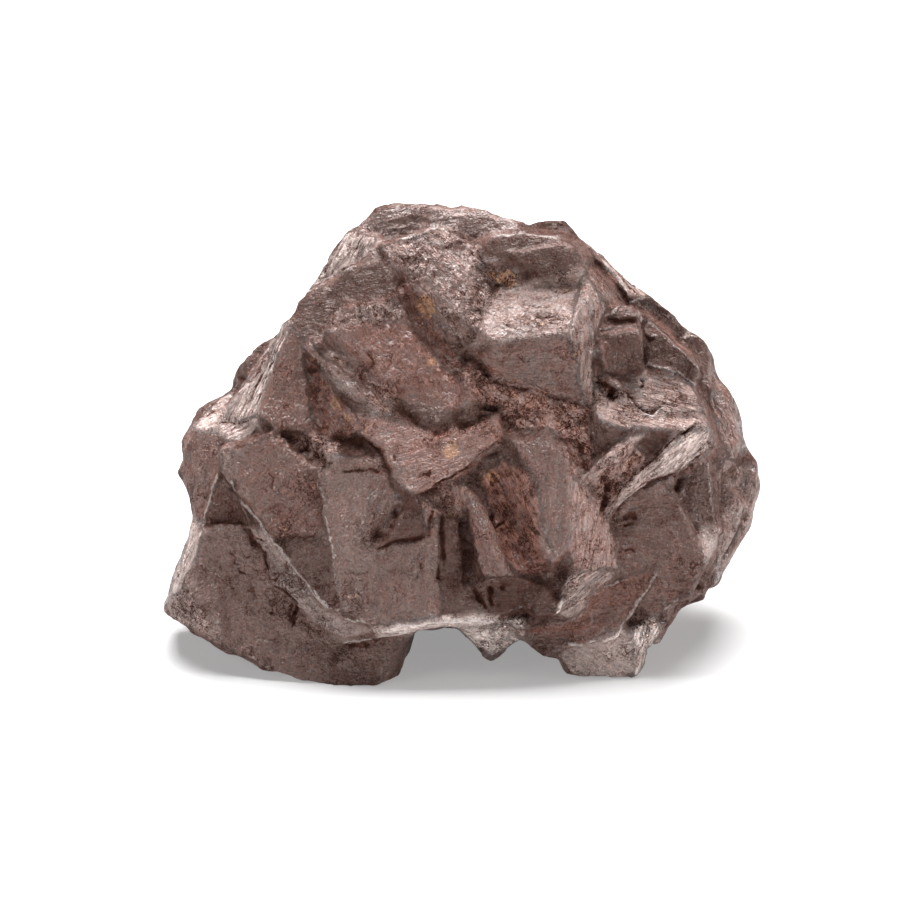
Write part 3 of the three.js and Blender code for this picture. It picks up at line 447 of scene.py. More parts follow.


# The crystal faces of the front: crust, hue and outline, then what else colours it (cool, pale, rust),
# how rough it is (crumb) and its grain: direction in degrees and strength. The crust level paints each
# face's light and shade into its colour; pale is partly wear and partly a painted highlight on rims and
# edges lit by the floor or from the side; cool greys the colour, partly as a painted bluish sheen.
faces = {
    "left foot": face("dim", "grey", [(-19.6, -6), (-16.4, -6.1), (-14.8, -8.2), (-14.3, -10.8),
        (-12.6, -12), (-10.6, -13.9), (-9.1, -15), (-4.9, -14.3), (-5.8, -17.4), (-8.8, -18.4),
        (-13, -17.9), (-17.9, -15.3), (-18.1, -13.6), (-19.9, -12.3), (-20.2, -9.2)], cool=0.5,
        grain=(10, 0.2)),
    "shaded corner": face("deep", "ruddy", [(-18.1, -2.4), (-16.4, -4.7), (-15.9, -6), (-19.3, -5.9)],
        grain=(80, 0.4)),
    # painted highlight: the foot's rear side is made bright and pale where light grazes it
    "foot's rear side": face("brightest", "grey", [(-20.3, -5.6), (-19.5, -6.4), (-20.3, -9), (-21.4, -11),
        (-22.8, -12.6)], pale=0.9, grain=(65, 0.8)),
    "foot's rough corner": face("wornAndLit", "grey", [(-21.3, -11), (-20.2, -9.2), (-19.9, -12), (-18.2, -13.6),
        (-18, -15), (-22.6, -13.2)], crumb=0.7),
    "strip beside the foot": face("wornAndLit", "grey", [(-16.3, -6.3), (-14.8, -6.8), (-12, -10.2), (-10, -12.5),
        (-8.6, -13.2), (-6.8, -14.1), (-9.1, -15), (-10.6, -13.9), (-12.6, -12), (-14.3, -10.8),
        (-14.8, -8.2)], cool=0.7),
    "left plate": face("dim", "ruddy", [(-17.2, -0.5), (-13.8, 0.6), (-11, -1.6), (-10.3, -6.9),
        (-12.6, -7), (-14.2, -7.2), (-16.6, -4.2), (-17.2, -2.5)], grain=(40, 0.3)),
    "left plate's rim": face("wornAndLit", "grey", [(-18.2, 0), (-16.9, -0.5), (-17.2, -2.5), (-18.2, -1.8)],
        crumb=0.6),
    "left plate's foot": face("deep", "brown", [(-14, -7.3), (-10.3, -7), (-9.4, -11.8), (-10.2, -12)],
        cool=0.7, crumb=0.3),
    "rear left": face("plain", "brown", [(-21, 1), (-18.4, 0.9), (-18.2, -1.8), (-19.3, -5.6),
        (-20.3, -5.7), (-21.4, -2)], grain=(85, 0.6)),
    "shelf": face("brightest", "grey", [(-20.2, 1.2), (-19, 2.8), (-17.5, 3.9), (-15.4, 2.4), (-15.3, 1.2),
        (-16.2, 0.5), (-17.7, 0.2), (-18.6, 0.9)], pale=0.6, grain=(18, 0.7)),
    # painted highlight: the sheets' edges are made bright and pale where they catch the light
    "sheets' edges": face("bright", "grey", [(-13.1, 8.9), (-13.7, 8.8), (-15, 6.7), (-16.3, 4.6),
        (-17.5, 2.7), (-18, 1.6), (-15.4, 2.2), (-15.2, 3.2), (-14.8, 4.6), (-13.8, 6.7)], pale=1.1,
        grain=(60, 1)),
    "knob": face("deep", "brown", [(-17, 4.9), (-16.9, 5.8), (-16.2, 6.6), (-14.9, 6.7), (-15.8, 4.8)]),
    "upper left side": face("dim", "ruddy", [(-13.1, 8.9), (-11.9, 7), (-11.6, 5), (-11, 3), (-10.8, 1),
        (-13.8, 0.8), (-15.3, 2.2), (-15, 3.6), (-13.8, 6.6)], grain=(60, 0.2)),
    "upper left top": face("deep", "brown", [(-13.2, 9.2), (-12.2, 11), (-8.5, 13), (-5.5, 13.5),
        (-4.6, 12), (-5.2, 10.6), (-8, 10), (-10.2, 8.4), (-11.8, 7.2)], cool=0.5, grain=(5, 0.35)),
    "crumbled crest": face("wornAndLit", "brown", [(-10.6, 8.2), (-9.4, 9.6), (-8, 10.3), (-5.1, 10.7),
        (-4.6, 9.4), (-6, 9), (-8.5, 8.9)], pale=0.35, crumb=1),
    "red plate": face("plain", "red", [(-10.3, 8), (-8.4, 9), (-5.8, 9), (-4.6, 9.1), (-2.4, 6.4), (0, 4.2),
        (1.3, 3.2), (-0.6, 2.2), (-4, 3), (-6.4, 4.2), (-8.6, 6)], grain=(-40, 0.3)),
    "rounded ridge": face("light", "brown", [(-12, 7.6), (-11.5, 7.6), (-9.5, 5.8), (-7.5, 4.2),
        (-5.2, 2.9), (-5, 2.2), (-6.6, 2.1), (-8.4, 3.5), (-10.2, 5.2)], cool=0.2, grain=(-45, 0.6)),
    "ridge's hollow": face("bright", "ruddy", [(-9.9, 6.8), (-8.8, 6.8), (-7, 5.6), (-5, 3.9), (-5, 3),
        (-7, 4.2)], crumb=0.7),
    "crown's slope": face("light", "brown", [(-5.2, 13.8), (-6, 14.7), (-4, 15.5), (-1.6, 16.1),
        (1.3, 15.1), (1.9, 12.7), (2.3, 11.4), (1.7, 9.6), (0.5, 7.3), (-0.8, 7.5), (-2, 9.3),
        (-3.6, 11.6)], pale=0.4, crumb=0.4, grain=(-50, 0.6)),
    "trough's wall": face("plain", "red", [(-4.6, 13.4), (-3.2, 11.6), (-1.8, 9.4), (-0.6, 7.4), (0.3, 5.4),
        (-0.6, 5.6), (-2.2, 7.6), (-3.8, 9.6), (-4.8, 11.8)], rust=0.35, crumb=0.4),
    "top dome": face("light", "grey", [(-8, 16), (-6.4, 17.6), (-3.2, 18.5), (0.5, 18.1), (4.1, 17.1),
        (4.8, 15.9), (2, 15.4), (-1.6, 16.2), (-4, 15.6), (-6.4, 15.1)], cool=0.5, grain=(3, 0.2)),
    "top left sheets": face("brightest", "grey", [(-12.2, 11.2), (-9.4, 15), (-8.3, 16.1), (-6.6, 15.6),
        (-6.6, 14.9), (-8, 13.6), (-10, 12.4)], pale=0.9, grain=(55, 1)),
    "top block": face("deep", "brown", [(1.7, 14.9), (2.3, 15.5), (5, 15.7), (7.7, 15.4), (9.2, 14.9),
        (9.4, 13.8), (7, 13), (4, 13), (2, 13.2)], grain=(5, 0.3)),
    "crumbled corner": face("brightest", "ruddy", [(0.9, 14), (2, 13.7), (4.2, 13), (4, 11.8), (2, 12.2),
        (1, 13)], rust=0.5, crumb=1),
    # painted reflection: the flat that faces up is made light where it mirrors the light above
    "bright flat": face("wornAndLit", "grey", [(0.5, 7.3), (1.3, 8.2), (1.8, 9.6), (1.9, 10.5), (2.9, 11.6),
        (6.5, 12.4), (9.3, 13), (9.6, 12.5), (8.8, 10.5), (8.3, 9), (8.1, 8.2), (5, 7.9), (3, 7.6)],
        pale=0.2, crumb=0.08, grain=(-4, 0.25)),
    "block's front": face("plain", "ruddy", [(0.6, 7.2), (4, 7.6), (8.1, 8.1), (9.4, 3), (6, 3.6),
        (2.4, 4.8)], grain=(5, 0.3)),
    "block's right side": face("wornAndLit", "grey", [(8.1, 8.1), (9.3, 12.9), (11.4, 11.2), (10, 8.5), (9.8, 3),
        (9.3, 3)], cool=0.3, grain=(80, 1)),
    "small cube": face("deep", "brown", [(10.1, 8.4), (13.3, 8.6), (13.5, 5.6), (12.2, 5.1), (10.7, 5.6)],
        grain=(88, 0.2)),
    "upper right strip": face("deep", "grey", [(9.5, 14.3), (10.4, 13.7), (12.9, 10.9), (12.3, 10.4),
        (10.9, 12), (9.6, 13.4)]),
    "upper right sheets": face("wornAndLit", "grey", [(9.2, 15), (10.4, 14.9), (12.4, 13), (14.1, 11.3),
        (12.9, 11), (11.4, 12.8), (9.7, 14.5)], pale=0.6, grain=(-45, 1)),
    "block's upper right": face("dim", "grey", [(9.3, 13.6), (10.6, 12.4), (12.2, 10.4), (11.4, 9.8),
        (9.4, 12.9)], grain=(-50, 1)),
    "outer band": face("dark", "grey", [(13, 11), (16, 9.7), (18, 8.1), (19.2, 5.8), (18.9, 2.6), (18, 2.8),
        (18.3, 5.4), (17.5, 6.8), (15.6, 8), (13.4, 9.8)], grain=(-35, 0.3)),
    "terrace": face("wornAndLit", "grey", [(10.2, 2.8), (12.2, 3.9), (13.8, 5.4), (15.4, 5.5), (17.4, 4.3),
        (18.6, 1.2), (16.4, 1), (12, 1.2), (10.2, 1.6)], pale=0.4, crumb=0.08, grain=(-14, 0.9)),
    "ledges": face("brightest", "ruddy", [(18.6, 1), (18.9, -0.6), (17, -1.8), (14.2, -2.6), (12.2, -4.6),
        (11, -5.5), (12, -3.2), (14.6, -0.9), (16.4, 0.7)], pale=0.7, crumb=0.1, grain=(38, 1)),
    "centre right": face("plain", "ruddy", [(3.3, 0.8), (6.4, 1.1), (8, 0), (8.2, -8), (6, -9.6),
        (5.9, -3)], grain=(85, 0.4)),
    "centre right's slope": face("wornAndLit", "red", [(8, -1), (9.6, -2.6), (11, -6), (11.8, -9.4), (8.4, -9.6),
        (8.2, -8)], pale=0.3, grain=(85, 0.8)),
    "slope's foot": face("bright", "brown", [(8.2, -9.6), (11.6, -9.8), (10, -11.3), (8.7, -13), (7, -12.9),
        (7.7, -10.4)], crumb=0.1, grain=(35, 1)),
    "fibrous slope": face("light", "rusty", [(1.4, -2.8), (3.2, -1.2), (5.2, -2.4), (5.9, -5), (6.6, -8),
        (6.2, -9.8), (4.4, -9.9), (2.6, -6.2)], crumb=0.1, grain=(-62, 1)),
    "slab": face("light", "red", [(-9, 2.4), (-6, 1.8), (-3, 1), (0.5, 1.2), (3, 2.2), (3.1, 0.1),
        (1, -1.7), (-0.8, -2.9), (-3.2, -4), (-5.2, -2.6), (-6.2, -0.5)], grain=(12, 0.4)),
    "middle plate": face("plain", "grey", [(-10.4, -1), (-6.2, -1.2), (-4.6, -4.8), (-6.6, -8.2),
        (-3, -7.4), (-1.8, -6), (-1.6, -13), (-6.8, -13.8), (-8.6, -12.8), (-10, -6.8)], grain=(85, 0.3)),
    "middle plate's left": face("light", "brown", [(-10.5, -2.4), (-7, -2.6), (-6.6, -8), (-8.4, -12.6),
        (-9.9, -6.8)], cool=0.4),
    "long ridge": face("plain", "ruddy", [(0, -3.1), (1.2, -4.2), (2.6, -6.4), (4, -9.9), (1.3, -9.9),
        (0.9, -7)], cool=0.2, grain=(-65, 0.4)),
    "right face": face("dark", "ruddy", [(11.6, -5.4), (13.4, -3.6), (15.2, -2.9), (16, -4.4), (17.4, -6.6),
        (18.3, -8.6), (17.3, -10.8), (14.8, -12.8), (13, -12.2), (14.8, -9.2), (12.4, -10), (11.6, -8)],
        grain=(-5, 0.4)),
    "dark three-sided face": face("deep", "brown", [(18.2, -1.3), (18.7, -2.2), (18.9, -3.9), (19, -5.2),
        (18.2, -6), (17.2, -5.4), (16.6, -3.7), (16.8, -2.4)]),
    "right foot's plate": face("dark", "red", [(4, -14.2), (8.6, -13.2), (10, -11.2), (12, -10.4),
        (14.7, -9.3), (14, -11.1), (12.9, -12.3), (11.4, -14.8), (9, -15.1)], grain=(8, 0.3)),
    "right foot": face("brightest", "grey", [(7, -15.8), (9, -15.2), (12, -14), (13, -14.4), (13, -17),
        (11, -18.6), (8.6, -17.6)], pale=0.4, grain=(-32, 0.4)),
    "right foot's side": face("brightest", "grey", [(13, -14), (14.6, -13), (15, -15), (13.8, -17.4),
        (13, -17.6)], pale=1.2, grain=(80, 1)),
    "spur": face("brightest", "brown", [(-0.4, -13.9), (4.6, -13.2), (4.8, -14.8), (2.3, -16.2), (1, -15.2)],
        pale=1.1, grain=(-40, 1)),
    "right edge": face("light", "grey", [(19.2, 5.2), (21.4, 2.4), (21.9, 0), (20.4, -1.6), (19.6, 1),
        (18.8, 3)], grain=(-75, 0.8)),
    "wedge's hollow": face("light", "red", [(-6.8, -3.6), (-4.6, -4.4), (-5, -6), (-6.4, -7.8),
        (-7.4, -7.4), (-7, -5.4)], crumb=0.25, grain=(60, 0.8)),
    "under the slab": face("wornAndLit", "red", [(-3.2, -4.2), (-0.6, -3), (0.4, -3.4), (0.2, -5.4), (-0.4, -5.6),
        (-2.2, -5.4), (-2.6, -6.4)], crumb=0.3, grain=(80, 0.8)),
    "crumbled hollow": face("bright", "rusty", [(0.6, 5.8), (2.4, 4.6), (5, 4.3), (8, 3.2), (9.6, 2.8),
        (9.8, -1.5), (8.6, -2.6), (8, 0), (6.4, 1.3), (3.4, 1), (3, 2.8), (1.8, 3), (0.2, 4.4)], rust=0.1,
        crumb=0.6, grain=(-30, 0.4)),
    "left trough": face("dim", "red", [(-11.8, 6.6), (-10.2, 4.8), (-8.6, 2.8), (-7.4, 1.2), (-8.5, 0.4),
        (-10.4, 0.2), (-11, 1.8), (-11.5, 4.4)], rust=0.2, crumb=0.3, grain=(-50, 0.6)),
    "dark corner": face("bright", "ruddy", [(-12.6, 0.2), (-10.6, 0.8), (-9.2, 0), (-9.8, -2.2),
        (-10.6, -2)], crumb=0.8),
    "pitted hollow": face("brightest", "rusty", [(9.6, -2.4), (11.2, -1), (12.6, 0), (14, -1.2), (12.4, -3.2),
        (11, -5.6), (10.2, -5)], crumb=0.4, grain=(45, 0.6)),
    "pitted hollow below": face("plain", "grey", [(11.8, -5.2), (13.6, -5), (13.6, -6.6), (12, -6.6)],
        crumb=0.5),
    "hollow by the cube": face("brightest", "ruddy", [(9.8, 5.2), (12, 3.9), (12.4, 3.2), (10.2, 2.8)],
        crumb=0.9),
    "upper bar": face("brightest", "ruddy", [(8.8, -2.9), (9.4, -2.1), (11, -0.7), (12.4, 0.5), (13.6, 0.5),
        (12.4, -0.7), (10.6, -2.1), (9.3, -3.2)], grain=(42, 0.6)),
    "bright corner": face("wornAndLit", "grey", [(17.9, -6.3), (19.4, -6.4), (19.1, -7.8), (18.8, -8.5),
        (18, -7.6)], pale=0.7),
    # painted highlight: the lower rim is made bright and pale where the floor lights it from below
    "lower rim": face("bright", "brown", [(-6.8, -13.8), (-4, -13.4), (-1, -13), (2.8, -12.8), (2.8, -13.6),
        (-1, -13.9), (-4, -14.4), (-6.4, -14.5)], pale=1.1, grain=(3, 0.5)),
    "lower right edge": face("light", "brown", [(20, -1.4), (22.9, -2), (22.4, -6.4), (20, -10.4),
        (19, -11), (19.8, -6)], crumb=0.2, grain=(80, 0.4)),
}

# Between these faces and on the other sides, and how much that varies from plate to plate.
elsewhere = {"tone": -0.8, "red": -0.5, "cool": 0.6, "crumb": 0.15, "grain": 0.25}
varied = {"tone": 0.9, "red": 0.9, "cool": 0.6}
plateSize = 6

# Grooves cut into the front: width, depth and darkness, then the lines that they follow. The darkness is
# partly the dark of crevices and cracks and partly painted shadow where a ledge or plate overhangs.
grooves = [
    (0.6, 0.3, 0.42, [(-11.8, 6.5), (-11.4, 4.8), (-10.9, 3.2), (-10.6, 1.6), (-10.2, 0)]),
    (0.5, 0.2, 0.3, [(-9.6, 6.9), (-8.6, 5.8), (-7.4, 4.9), (-6.2, 4), (-5.2, 3.3)]),
    (0.4, 0.2, 0.24, [(-4.8, 12.8), (-4.3, 11), (-3.6, 9.5), (-2.6, 8.2), (-1.4, 6.9), (-0.2, 5.6)]),
    (0.45, 0.4, 0.48, [(-4.8, 3), (-4, 2.2), (-3.2, 1.4), (-2.2, 0.9), (-1.4, 1), (-0.5, 1.8), (0.2, 1.3),
     (1, 1.6), (2, 2.5), (3, 2.8)]),
    (0.45, 0.5, 0.54, [(-9.9, 0.8), (-8.9, 0.2), (-7.5, 0), (-6.4, -0.5), (-5.9, -1.6), (-5.3, -2.6)]),
    (0.4, 0.5, 0.48, [(-13.8, 0.8), (-12.6, 0.2), (-11.5, -0.6), (-10.6, -1.3), (-10, -1.9)]),
    (0.18, 0.35, 0.9, [(-1.5, -5.4), (-1.4, -7), (-1.3, -9)]),
    (0.45, 0.5, 0.33, [(0.2, -5.2), (0.4, -7), (0.6, -8.5), (0.5, -10)]),
    (0.2, 0.25, 0.7, [(-2.3, -4.8), (-2.4, -6), (-2.4, -7.3)]),
    (0.15, 0.2, 0.7, [(-1.7, -9.2), (-1.6, -10.2)]),
    (0.5, 0.6, 0.42, [(-4.7, -4.6), (-5.2, -5.8), (-6, -6.9), (-6.4, -7.6)]),
    (0.22, 0.35, 0.9, [(-6.5, -8.2), (-5.5, -7.7), (-4.6, -7.4), (-3.6, -7.3), (-2.8, -7.2)]),
    (1.1, 0.7, 0.3, [(2.6, -3), (3.2, -4.6), (3.8, -6.3), (4.6, -8), (5.2, -9.4)]),
    (0.15, 0.2, 0.9, [(2.1, -5.4), (2.7, -6.2), (3.3, -5.9)]),
    (0.22, 0.4, 1, [(0.9, -10.8), (1.3, -11.6), (1.9, -12.4)], [(2.1, -10.7), (2.4, -11.5), (2.4, -12.2)]),
    (0.16, 0.2, 0.8, [(3, -10.5), (3.1, -11.1)]),
    (0.2, 0.2, 0.6, [(2, 4.8), (3.5, 4.4), (5, 4.1), (6.5, 3.6), (8, 3.1), (9.5, 2.9)]),
    (0.3, 0.25, 0.5, [(0.2, 6.5), (1, 6), (1.8, 5.3), (2.2, 4.8)]),
    (0.3, 0.3, 0.6, [(8.6, 0.3), (9, -0.8), (9.2, -2.2)]),
    (0.3, 0.4, 0.8, [(11, -3), (10.9, -4.3), (10.6, -5.3)]),
    (0.25, 0.2, 0.4, [(12.9, -0.9), (12.5, -2.2), (11.8, -3.2)]),
    (0.25, 0.3, 0.9, [(12.1, -5.7), (12.7, -5.4), (13.3, -5.7)]),
    (0.16, 0.2, 0.9, [(12.2, -6.3), (13.1, -6.1)]),
    (0.14, 0.15, 0.9, [(12.2, -8.1), (12.7, -7.9), (13.1, -8)]),
    (0.1, 0.2, 0.8, [(11, 9.3), (12, 9.1), (13.2, 9.1)]),
    (0.3, 0.4, 0.9, [(10.1, 4.7), (10.8, 4.1), (11.5, 3.7)]),
    (0.14, 0.25, 0.8, [(12.3, 3.8), (12.9, 3), (13.6, 2.4), (14.2, 2.3), (14.8, 2.7), (15.3, 2.8)]),
    (0.14, 0.2, 0.8, [(13.6, 4.9), (13.9, 4.5), (13.5, 4)]),
    (0.22, 0.2, 0.6, [(9.8, 14.1), (10.7, 13.2), (11.7, 12.1), (12.8, 10.8)]),
    (0.16, 0.3, 0.7, [(17.8, 1.6), (16, 0.2), (14.5, -1), (13, -2.3), (12, -3.4), (10.9, -5.4)],
     [(18.9, -0.3), (16.5, -2.3), (14, -3), (12, -4.9), (11.4, -5.7)]),
    # painted shade above the foot's top edge, under the plate beside it
    (0.15, 0.2, 0.7, [(-18.9, -6), (-18, -5.9), (-17, -5.9), (-16.3, -6.1)]),
    # painted shadow under the slab's overhanging lower edge
    (0.14, 0.2, 0.8, [(3.1, 0.4), (1.8, -0.7), (0.6, -1.6), (-0.8, -2.6), (-2.4, -3.5), (-3.6, -4.3)]),
    (0.1, 0.15, 0.8, [(13.6, 9.2), (13.8, 8.2), (14.1, 7.8), (14.5, 8.1)]),
    (0.1, 0.12, 0.7, [(1.5, 14.9), (1.3, 14), (1.9, 13.2)]),
    (0.1, 0.12, 0.8, [(-17, 5), (-16.5, 4.8), (-15.9, 4.6)]),
    (0.07, 0.1, 0.8, [(-13.3, 8.3), (-14.2, 6.2), (-15.1, 4.2), (-15.7, 2.7)], [(-13.4, 8.4), (-14.5, 6.3),
     (-15.6, 4.3), (-16.4, 2.8)]),
    (0.07, 0.1, 0.7, [(-13.5, 8.5), (-14.8, 6.4), (-16, 4.4), (-17, 2.8)]),
    (0.07, 0.08, 0.7, [(-17.2, 3.6), (-18.4, 2.7), (-19.6, 1.8)], [(-15.6, 1.9), (-17, 1.5), (-18.6, 1.4)],
     [(10.4, 14.3), (11.8, 12.9), (13.2, 11.5)]),
    (0.07, 0.08, 0.6, [(4, 10.6), (5.6, 10.2), (6.8, 10.5)], [(5.2, 9.3), (6.8, 9.5), (7.8, 9.1)],
     [(2.6, 9.6), (3.2, 8.8), (4.4, 8.6)], [(6.4, 11.6), (7.6, 11.2), (8.4, 11.5)]),
    (0.16, 0.4, 1, [(-16.4, -6.2), (-15.9, -7.3), (-14.9, -8.2), (-14.8, -9.1), (-14.5, -9.8)]),
    (0.12, 0.15, 0.7, [(-16, -7), (-15.5, -7.2), (-14.8, -7.4)]),
    (0.16, 0.4, 1, [(-14.3, -10.8), (-13.3, -11.4), (-12.4, -12.1), (-12.6, -13), (-12.8, -14)]),
    (0.12, 0.15, 0.8, [(-12.8, -12.1), (-13, -12.8), (-12.9, -13.5)]),
    (0.07, 0.08, 0.8, [(-17.6, -8.2), (-17.1, -8.6), (-17.2, -9), (-16.8, -9.1)], [(-16.6, -8.1),
     (-16.2, -8.6), (-15.8, -8.5)], [(-18, -10.2), (-17.5, -10.4), (-17.4, -10.9), (-16.9, -11)]),
    (0.07, 0.08, 0.7, [(-15.9, -9.4), (-15.4, -9.7), (-15.5, -10.2)], [(-14.6, -11.6), (-14.2, -12.2),
     (-14.4, -12.8), (-13.9, -13)], [(-16.8, -12.4), (-16.3, -12.3), (-16.1, -12.9)], [(-12, -13.4),
     (-11.5, -13.9), (-11.7, -14.6), (-11.1, -14.9)], [(-9.9, -15.6), (-9.3, -16), (-9.4, -16.5)],
     [(-15, -14.6), (-14.4, -14.9), (-13.9, -14.7)], [(-8.2, -9.6), (-7.5, -9.9), (-6.8, -9.7)],
     [(-5.2, -10.4), (-4.8, -11.2), (-4.9, -12)], [(-3.4, -8.6), (-3, -9.4), (-3.2, -10.2)], [(-14.8, -2.2),
     (-14.1, -2.6), (-14.2, -3.4), (-13.6, -3.8)], [(-7.2, 6.8), (-6.6, 6.2), (-6.7, 5.6)], [(4.2, 6.6),
     (4.8, 6), (5.6, 6.1)]),
    (0.12, 0.12, 0.7, [(-17, -9.2), (-16.8, -9.7), (-16.2, -9.8)], [(-16.2, -11.2), (-15.8, -11),
     (-15.7, -11.7)]),
    (0.12, 0.15, 0.8, [(-8.8, -2.3), (-7.6, -2), (-6.8, -2.1), (-6.1, -2.4)]),
    (0.12, 0.12, 0.7, [(-5.1, -0.8), (-4.9, -1.3)], [(-2.3, -2), (-2.5, -2.5), (-3, -2.3)]),
    # painted shadow under the lowest plate's edge
    (0.22, 0.25, 0.8, [(-8.7, -15.05), (-7.6, -15.1), (-6.8, -15.3)]),
    (0.14, 0.15, 0.7, [(-6.2, -14.7), (-5.6, -14.6)]),
]

# Raised lines, most of them the worn edge of a plate: width, height and paleness, then their lines. The
# paleness is partly wear and partly a painted highlight where the edge catches the light.
ridges = [
    (0.9, 0.25, 0, [(-11.9, 7.6), (-10.6, 6.6), (-9.6, 5.5), (-8.4, 4.3), (-7.3, 3.3), (-6.3, 2.7),
     (-5.5, 2.4)]),
    (0.6, 0.3, 0.2, [(-10.2, 8.4), (-9.4, 9.2), (-8, 10), (-6.4, 10.3), (-5, 10.5), (-4.5, 9.4), (-3.6, 8),
     (-2.4, 6.7), (-1, 5.6), (0.2, 4.5), (1.5, 3.4)]),
    (0.22, 0.2, 0.5, [(-4.2, -4.8), (-4.6, -6), (-5.3, -7.2), (-6.5, -8)]),
    (0.3, 0.2, 0.1, [(-0.5, -6), (-0.5, -8), (-0.5, -10)]),
    (0.6, 0.3, 0.1, [(0.3, -3.4), (1, -5), (1.8, -6.8), (2.4, -8.4), (2.8, -9.8)]),
    (0.16, 0.12, 1, [(-18.2, -1.8), (-17.2, -3.3), (-16.4, -4.5), (-15.2, -6), (-14.2, -7.4), (-13, -8.8),
     (-12, -10), (-11, -11.2), (-10.1, -12.2), (-9.3, -12.5), (-8.7, -13)]),
    (0.14, 0.1, 0.9, [(-18.3, -2), (-18.8, -3.6), (-19.2, -5.2), (-19.5, -6.5), (-20, -7.6)]),
    (0.22, 0.12, 0.7, [(-10.9, -2), (-10.6, -3.6), (-10.2, -5.2), (-9.9, -7), (-9.6, -9), (-9.1, -11.3),
     (-8.7, -13)]),
    (0.14, 0.1, 1, [(-9.1, -15), (-7.5, -14.8), (-6.2, -14.5), (-5, -14.3), (-4, -14)]),
    (0.2, 0.1, 0.8, [(-8.8, -13.1), (-8, -13.4), (-7.1, -13.4)]),
    (0.2, 0.1, 1, [(-6.8, -14), (-5.5, -14), (-4, -13.7), (-2, -13.5), (0, -13.3), (1.5, -13.3),
     (3, -13.2)]),
    (0.14, 0.05, 0.6, [(-18, -15), (-16.4, -16), (-14.5, -17), (-13, -17.6), (-11, -17.8)]),
    (0.14, 0.08, 0.6, [(-19.8, -12.6), (-19, -13), (-18.3, -13.6), (-18, -14.8)]),
    (0.12, 0.08, 0.7, [(-13.8, 0.6), (-13, -0.3), (-12.1, -1.2)]),
    (0.14, 0.08, 0.6, [(0.9, -10.3), (2.2, -10.2), (3.7, -10.1)]),
    (0.14, 0.1, 0.7, [(2, -12.9), (4, -12.4), (6, -11.9), (7, -11.8)]),
    (0.14, 0.08, 0.8, [(10.2, -11), (11, -10.7), (12, -10.5), (12.8, -10.2)]),
    (0.16, 0.1, 0.9, [(15, -8.9), (14.6, -9.8), (14, -11), (13, -12.2), (12.3, -13.4), (11.7, -14.6),
     (10.8, -14.9), (9, -15.1), (7, -15.2)]),
    (0.2, 0.1, 0.6, [(16, -4.8), (16.8, -5.7), (17.6, -6.8), (18.2, -8), (18.4, -8.8), (17.7, -9.6),
     (17.3, -10.8)]),
    (0.16, 0.08, 0.7, [(14.9, -12.9), (15.8, -12.2), (16.5, -11.6), (17.5, -11.3), (18.6, -11.3)]),
    (0.16, 0.08, 0.8, [(18.5, -1.2), (18.7, -2.8), (19, -4.4), (18.9, -5.6), (19.3, -6.6)]),
    (0.14, 0.1, 0.8, [(7.1, -12.8), (7.5, -11.8), (7.8, -10.6), (8, -10)], [(1.9, 15.4), (2.5, 15.6),
     (5, 15.7), (7.7, 15.5), (8.2, 15.1)]),
    (0.12, 0.08, 0.5, [(3.8, 14.3), (5.5, 14.5), (7, 14.7), (8.2, 15)]),
    (0.14, 0.08, 0.7, [(10.1, 8.5), (11.6, 8.6), (13.4, 8.7)]),
    (0.14, 0.1, 0.8, [(-12, 11.1), (-10, 12.2), (-8.6, 13.1), (-7.3, 14.2), (-6, 14.9)]),
    (0.12, 0.06, 0.6, [(5, 16.7), (7.5, 16.9), (8.7, 16)]),
    (0.12, 0.08, 0.8, [(-16.4, 6.4), (-16, 6.9), (-15.3, 7), (-14.7, 7)]),
    (0.1, 0.06, 0.6, [(13.4, 8.6), (13.5, 7), (13.4, 5.7)]),
    (0.14, 0.1, 0.9, [(11, 9.5), (11.8, 10.1), (12.6, 10.4), (13.2, 9.8), (13.5, 8.8)]),
    (0.12, 0.1, 0.9, [(13.6, 9.5), (14.5, 8.8), (15.6, 7.8), (16.6, 6.9), (17.8, 5.7), (17.9, 4.9)]),
    (0.1, 0.08, 0.8, [(14, 8.1), (14.6, 8.3), (15.8, 7.5), (16.3, 6.9)]),
    (0.12, 0.08, 0.8, [(16.5, 7.8), (17.2, 8), (17.9, 8.1)]),
    (0.14, 0.1, 0.9, [(13.7, 5.5), (14.3, 5.8), (15.4, 5.6), (16.5, 5.1), (17.8, 4.3), (18.4, 2.8)]),
    (0.3, 0.2, 0.6, [(10.5, 5.4), (11.3, 4.8), (12, 4.2)]),
    (0.14, 0.1, 0.9, [(12.8, 10.8), (13.4, 11), (14, 11.1)], [(9.7, 14.6), (10.8, 13.6), (12, 12.2),
     (13, 11)]),
    (0.12, 0.12, 0.9, [(12.4, 3.6), (13, 2.8), (13.7, 2.2), (14.3, 2.1), (14.9, 2.5), (15.4, 2.6)]),
    (0.12, 0.1, 0.8, [(-6.2, 15.1), (-4.4, 15.5), (-3, 15.8), (-1.9, 16.1), (-0.6, 15.9)]),
    (0.1, 0.06, 0.6, [(1.6, 17.4), (2.6, 16.8), (3, 16.2), (3.8, 16)]),
    (0.1, 0.06, 0.5, [(-6.6, 16.6), (-4.2, 17.2), (-2, 17), (0.4, 17.2)], [(-5.6, 16), (-3.6, 16.6),
     (-1.6, 16.5)]),
    (0.12, 0.1, 1, [(-12.2, 11), (-10.9, 11.7), (-9.4, 12.7), (-8, 13.5), (-6.8, 14.3)]),
    (0.1, 0.08, 0.9, [(-12.2, 11.6), (-11.2, 12.6), (-10, 13), (-9, 14.2)], [(-15.6, 2.4), (-14.8, 4.6),
     (-13.8, 6.8), (-13.1, 8.8)]),
    (0.1, 0.08, 0.8, [(-17.6, 2.6), (-16.3, 4.7), (-15, 6.7), (-13.6, 8.8)]),
    (0.1, 0.08, 0.7, [(-3.4, -4), (-2.2, -3.2), (-0.8, -2.4), (0.6, -1.4), (1.8, -0.5), (3, 0.6)]),
]

